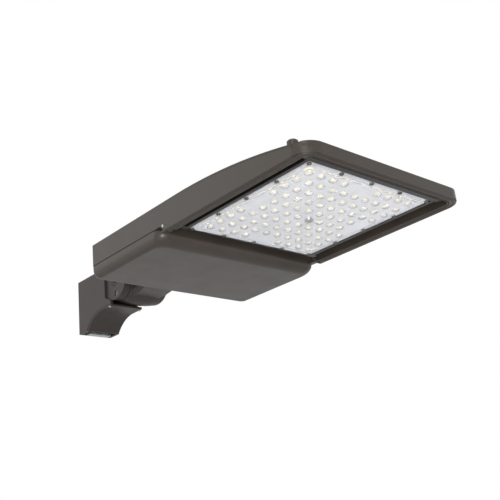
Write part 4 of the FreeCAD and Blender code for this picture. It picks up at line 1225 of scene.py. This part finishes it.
@dataclass
class Housing(Assembly):
    """The finned housing, the lens frame and what is mounted in the driver bay."""

    corner_radius: float = 28.0 * MM
    corner_tall: float = 13.0 * MM
    corner_skin: float = 0.05 * MM
    corner_edge: float = 0.5 * MM
    corner_overlap: float = 0.1
    rim_wall: float = 5.0 * MM
    rim_low: float = -25.7 * MM
    rear_end: float = 452.0 * MM
    beads: tuple[RimBead, ...] = (
        RimBead(3.4 * MM, 0.9 * MM, 0.25),
        RimBead(12.6 * MM, 0.9 * MM, 0.25),
        RimBead(8.0 * MM, 3.4 * MM, 0.62),
    )

    def build_nose_corners(self) -> None:
        """Closes the rim's two front corners with a curved wall."""
        low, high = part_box("main_housing")
        radius = self.corner_radius
        for side, name in ((-1, "nose_corner_left"), (1, "nose_corner_right")):
            outer = high.y if side > 0 else low.y
            centre = Vector((high.x - radius, outer - side * radius, self.rim_low + self.corner_tall / 2))
            wall = drum(name, centre, radius - self.corner_skin, self.corner_tall, 96)
            core = drum("corner_core", centre, radius - self.rim_wall, 2 * self.corner_tall, 64)
            carve(wall, core, "DIFFERENCE")
            cut_away(wall, centre, (-self.corner_overlap, side, 0.0))
            cut_away(wall, centre, (1.0, -side * self.corner_overlap, 0.0))
            modify(wall, "BEVEL", width=self.corner_edge, segments=2, limit_method="ANGLE",
                   angle_limit=math.radians(50))
            soften(wall)
            self.light.place(wall, Body.HEAD, Slot.BRONZE)

    def build_rim_beads(self) -> None:
        """Runs the cast beads and the round moulding along the rim's lower face, on three sides."""
        low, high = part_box("main_housing")
        start = (2 * self.rear_end - high.x, low.y)
        for count, bead in enumerate(self.beads, start=1):
            height = self.rim_low + bead.sunk * bead.radius
            run = ring_bead(f"rim_bead_{count}", start, high.xy, bead.inset, height, bead.radius,
                            self.corner_radius - bead.inset, 12)
            cut_away(run, (self.rear_end, 0.0, 0.0), (1.0, 0.0, 0.0))
            soften(run, 60.0)
            self.light.place(run, Body.HEAD, Slot.BRONZE)

    def build(self) -> None:
        """Models the nose corners and the rim's beads."""
        self.build_nose_corners()
        self.build_rim_beads()

    def dress(self) -> None:
        """Finishes the housing's CAD nodes."""
        self.light.dress(Slot.BRONZE, "main_housing", "boss_plug")
        self.light.dress(Slot.FRAME, "lens_frame")
        self.light.dress(Slot.STAINLESS, "hinge_pins", "driver_screws", "arm_bolts")
        self.light.dress(Slot.DRIVER, "led_driver")
        self.light.dress(Slot.PLASTIC, "surge_protector", "terminal_block", "breather_vent")
        self.light.dress(Slot.RUBBER, "wire_bushing", "led_grommet", "arm_gasket")


@dataclass
class DriverDoor(Assembly):
    """The hinged door under the driver bay."""

    wall: float = 3.0 * MM
    top: float = -17.9 * MM
    seam: float = 1.0 * MM
    cord_inset: float = 0.7 * MM
    cord_radius: float = 0.7 * MM
    land: float = 5.6 * MM
    flat_half_width: float = 144.5 * MM
    flat_front: float = 412.0 * MM
    flat_rear: float = 258.0 * MM
    front_x: float = 432.0 * MM
    front_corner: float = 17.0 * MM
    rear_corner: float = 8.0 * MM
    rear_play: float = 0.3 * MM
    corner_steps: int = 10
    flank_steps: int = 9
    hinge: tuple[float, float] = (440.0 * MM, -19.0 * MM)
    ear_radius: float = 6.0 * MM
    ear_inner: float = 141.0 * MM
    ear_outer: float = 150.0 * MM
    web_root: float = 7.5 * MM
    web_low: float = 5.4 * MM
    web_foot: tuple[float, float] = (6.0 * MM, 4.2 * MM)
    web_taper: float = 0.5
    pin_hole: float = 2.05 * MM
    screw_side: float = 95.0 * MM
    screw_low: float = -27.0 * MM
    screw_hole: float = 2.6 * MM
    drill_long: float = 24.0 * MM
    pin_drill_long: float = 400.0 * MM

    def build_shell(self) -> Piece:
        """Presses the tray: upright walls that curve under into a flat face.

        Returns:
            The tray, open at the top.
        """
        low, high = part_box("driver_door")
        rear = low.x + self.rear_play
        shoulder = self.top - self.land
        tray = block("pressed_door", (rear, low.y, shoulder), (self.front_x, high.y, self.top - self.seam))
        for edge_x, radius in ((rear, self.rear_corner), (self.front_x, self.front_corner)):
            with editing(tray, "EDGE"):
                pick_upright(tray, edge_x)
                bpy.ops.mesh.bevel(offset=radius, segments=self.corner_steps, affect="EDGES")
        share_x = (self.flat_front - self.flat_rear) / (self.front_x - rear)
        share_y = self.flat_half_width / high.y
        hub_x = (self.flat_rear - rear * share_x) / (1 - share_x)
        turn = math.pi / 2 / self.flank_steps
        with editing(tray):
            pick_faces(tray, looks_down)
            before = Vector((1.0, 1.0))
            for step in range(1, self.flank_steps + 1):
                fall = (shoulder - low.z) * (math.sin(step * turn) - math.sin((step - 1) * turn))
                inward = 1 - math.cos(step * turn)
                now = Vector((1 - (1 - share_x) * inward, 1 - (1 - share_y) * inward))
                bpy.ops.mesh.extrude_region_move(TRANSFORM_OT_translate={"value": (0.0, 0.0, -fall)})
                bpy.ops.transform.resize(value=(now.x / before.x, now.y / before.y, 1.0),
                                         center_override=(hub_x, 0.0, 0.0))
                before = now
            pick_faces(tray, lambda face: face.normal.z > 0.9)
            bpy.ops.mesh.delete(type="FACE")
        modify(tray, "SOLIDIFY", thickness=self.wall, offset=-1.0)
        return tray

    def build_ear(self, side: int) -> Piece:
        """One hinge ear with the web that carries it.

        Args:
            side: -1 or 1, the side of the door.

        Returns:
            The ear.
        """
        hinge_x, hinge_z = self.hinge
        wide = self.ear_outer - self.ear_inner
        middle = side * (self.ear_inner + self.ear_outer) / 2
        ear = cylinder_across("hinge_ear", "Y", (hinge_x, middle, hinge_z), self.ear_radius, wide, 40)
        web = block("ear_web", (self.front_x - self.web_root, middle - wide / 2, hinge_z - self.web_low),
                    (hinge_x, middle + wide / 2, self.top - self.seam))
        with editing(web):
            pick_faces(web, lambda face: face.normal.x < -0.9)
            along, down = self.web_foot
            bpy.ops.mesh.extrude_region_move(TRANSFORM_OT_translate={"value": (-along, 0.0, -down)})
            bpy.ops.transform.resize(value=(1.0, 1.0, self.web_taper),
                                     center_override=(0.0, 0.0, hinge_z - self.ear_radius))
        carve(ear, web, "UNION")
        return ear

    def build_door(self) -> None:
        """Joins the tray and its ears, drills them and softens the edges."""
        low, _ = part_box("driver_door")
        door = self.build_shell()
        for side in (-1, 1):
            carve(door, self.build_ear(side), "UNION")
            drill = cylinder_across("screw_drill", "X", (low.x, side * self.screw_side, self.screw_low),
                                    self.screw_hole, self.drill_long, 24)
            carve(door, drill, "DIFFERENCE")
        hinge_x, hinge_z = self.hinge
        drill = cylinder_across("pin_drill", "Y", (hinge_x, 0.0, hinge_z), self.pin_hole, self.pin_drill_long,
                                24)
        carve(door, drill, "DIFFERENCE")
        soften(door, 32.0)
        modify(door, "WEIGHTED_NORMAL", keep_sharp=True, weight=80)
        self.light.place(door, Body.DOOR, Slot.BRONZE, "driver_door")

    def build_seam_shade_cord(self) -> None:
        """Lays a black rubber cord in the seam above the door, as painted shade: it stands in for the shadow
        in the gap.
        """
        low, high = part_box("driver_door")
        # The black cord is painted shade in the seam.
        cord = ring_bead("door_seam_shade_cord", low.xy, (self.front_x, high.y), self.cord_inset,
                         self.top - self.seam / 2, self.cord_radius, self.rear_corner)
        self.light.place(cord, Body.DOOR, Slot.RUBBER)

    def build(self) -> None:
        """Models the door and the dark cord above it that paints the seam's shade."""
        self.build_door()
        self.build_seam_shade_cord()

    def dress(self) -> None:
        """Finishes the door's CAD nodes."""
        self.light.dress(Slot.RUBBER, "door_gasket")
        self.light.dress(Slot.STAINLESS, "door_screw_left", "door_screw_right", "door_screw_clips")


@dataclass
class PoleBracket(Assembly):
    """The bracket on the pole, its cover and the tilting knuckle."""

    def dress(self) -> None:
        """Finishes the bracket's CAD nodes."""
        # The bracket's parts get the darker copy of the bronze coat, which paints shade on them.
        self.light.dress("bracket_coat_painted_shade", "bracket_casting", "bracket_cover", "knuckle_arm",
                         "pivot_bolt")
        self.light.dress(Slot.GALVANISED, "pole_plate")
        self.light.dress(Slot.RUBBER, "pole_gasket", "friction_ring")
        self.light.dress(Slot.STAINLESS, "cover_screws", "pivot_nut", "pivot_washer", "tilt_lock_screw")


# ------------------------------------------------------------ studio and camera


@dataclass(frozen=True)
class Lamp:
    """A square soft lamp that shines towards a target."""

    name: str
    place: tuple[float, float, float]
    target: tuple[float, float, float]
    size: float
    power: float

    def hang(self) -> None:
        """Puts the lamp in the scene."""
        data = bpy.data.lights.new(self.name, "AREA")
        data.shape = "SQUARE"
        data.size = self.size
        data.energy = self.power
        lamp = bpy.data.objects.new(self.name, data)
        bpy.context.collection.objects.link(lamp)
        lamp.location = self.place
        lamp.rotation_euler = (Vector(self.target) - Vector(self.place)).to_track_quat("-Z", "Y").to_euler()


@dataclass
class Studio:
    """A pale floor well under the light, soft lamps and a white backdrop."""

    floor_level: float = -1.2
    floor_size: float = 4.4
    floor_x: float = 0.4
    floor_tones: tuple[Colour, Colour] = ((0.80, 0.80, 0.80, 1.0), (0.83, 0.83, 0.83, 1.0))
    white: Colour = (1.0, 1.0, 1.0, 1.0)
    ring_level: float = 0.8
    ceiling_level: float = 0.42
    ring_top: float = 0.62
    ring_edge: float = 0.40
    lamps: tuple[Lamp, ...] = (
        Lamp("front_lamp", (1.75, -1.2, -0.75), (0.5, 0.0, 0.0), 0.6, 22.0),
        Lamp("upper_lamp", (2.06, -1.7, 0.86), (0.45, 0.0, 0.0), 0.9, 7.0),
        Lamp("side_lamp", (-1.0, -1.6, 0.75), (0.45, 0.0, 0.0), 1.5, 4.0),
    )

    def build_floor(self) -> None:
        """Lays the floor."""
        deselect()
        bpy.ops.mesh.primitive_plane_add(size=self.floor_size, location=(self.floor_x, 0.0, self.floor_level))
        floor = name_new("studio_floor")
        shader = Shader("pale_floor", Specular_IOR_Level=0.2)
        shade = noise(shader.tree, shader.place, 3.0, 2.0)
        shader.feed("Base Color", blend_colour(shader.tree, shade, *self.floor_tones))
        shader.feed("Roughness", spread(shader.tree, shade, 0.0, 1.0, 0.7, 0.8))
        floor.data.materials.append(shader.material)

    def build_world(self) -> None:
        """Lights the surroundings and shows them white to the camera."""
        world = bpy.data.worlds.new("studio")
        bpy.context.scene.world = world
        world.use_nodes = True
        tree = world.node_tree
        tree.nodes.clear()
        rays = node(tree, "LightPath")
        seen = combine(tree, "MAXIMUM", rays.outputs["Is Camera Ray"], rays.outputs["Is Transmission Ray"])
        height = node(tree, "SeparateXYZ", {0: node(tree, "TexCoord").outputs["Generated"]}).outputs["Z"]
        level = spread(tree, height, self.ring_edge, self.ring_top, self.ring_level, self.ceiling_level)
        glow = node(tree, "Background", {"Color": self.white, "Strength": level})
        white = node(tree, "Background", {"Color": self.white, "Strength": 1.0})
        both = node(tree, "MixShader", {0: seen, 1: glow.outputs[0], 2: white.outputs[0]})
        end = tree.nodes.new("ShaderNodeOutputWorld")
        tree.links.new(both.outputs[0], end.inputs["Surface"])

    def build(self) -> None:
        """Sets up the floor, the lamps and the backdrop."""
        self.build_floor()
        self.build_world()
        for lamp in self.lamps:
            lamp.hang()
        bpy.context.scene.view_settings.view_transform = "Standard"


@dataclass
class View:
    """The camera at the photograph's place."""

    location: tuple[float, float, float] = (1.270346, -0.778634, -0.446329)
    right: tuple[float, float, float] = (0.65621034, 0.7482967, -0.09715986)
    up: tuple[float, float, float] = (0.32054908, -0.15987653, 0.93364221)
    back: tuple[float, float, float] = (0.68310781, -0.64381018, -0.34477845)
    lens: float = 58.29
    sensor: float = 36.0

    def build(self) -> None:
        """Makes the camera and looks through it."""
        data = bpy.data.cameras.new("photo_camera")
        data.lens = self.lens
        data.sensor_width = self.sensor
        camera = bpy.data.objects.new("photo_camera", data)
        bpy.context.collection.objects.link(camera)
        turn = Matrix((self.right, self.up, self.back)).transposed().to_4x4()
        camera.matrix_world = Matrix.Translation(self.location) @ turn
        bpy.context.scene.camera = camera


def main() -> None:
    """Builds the light piece by piece, then the studio and the camera."""
    logging.basicConfig(level=logging.INFO, format="%(name)s: %(message)s")
    light = Light(Finishes(), frame["nodes"])
    assemblies = [kind(light) for kind in (OpticModule, Housing, DriverDoor, PoleBracket)]
    for assembly in assemblies:
        assembly.build()
    for assembly in assemblies:
        assembly.dress()
    Studio().build()
    View().build()


if __name__ == "__main__":
    main()
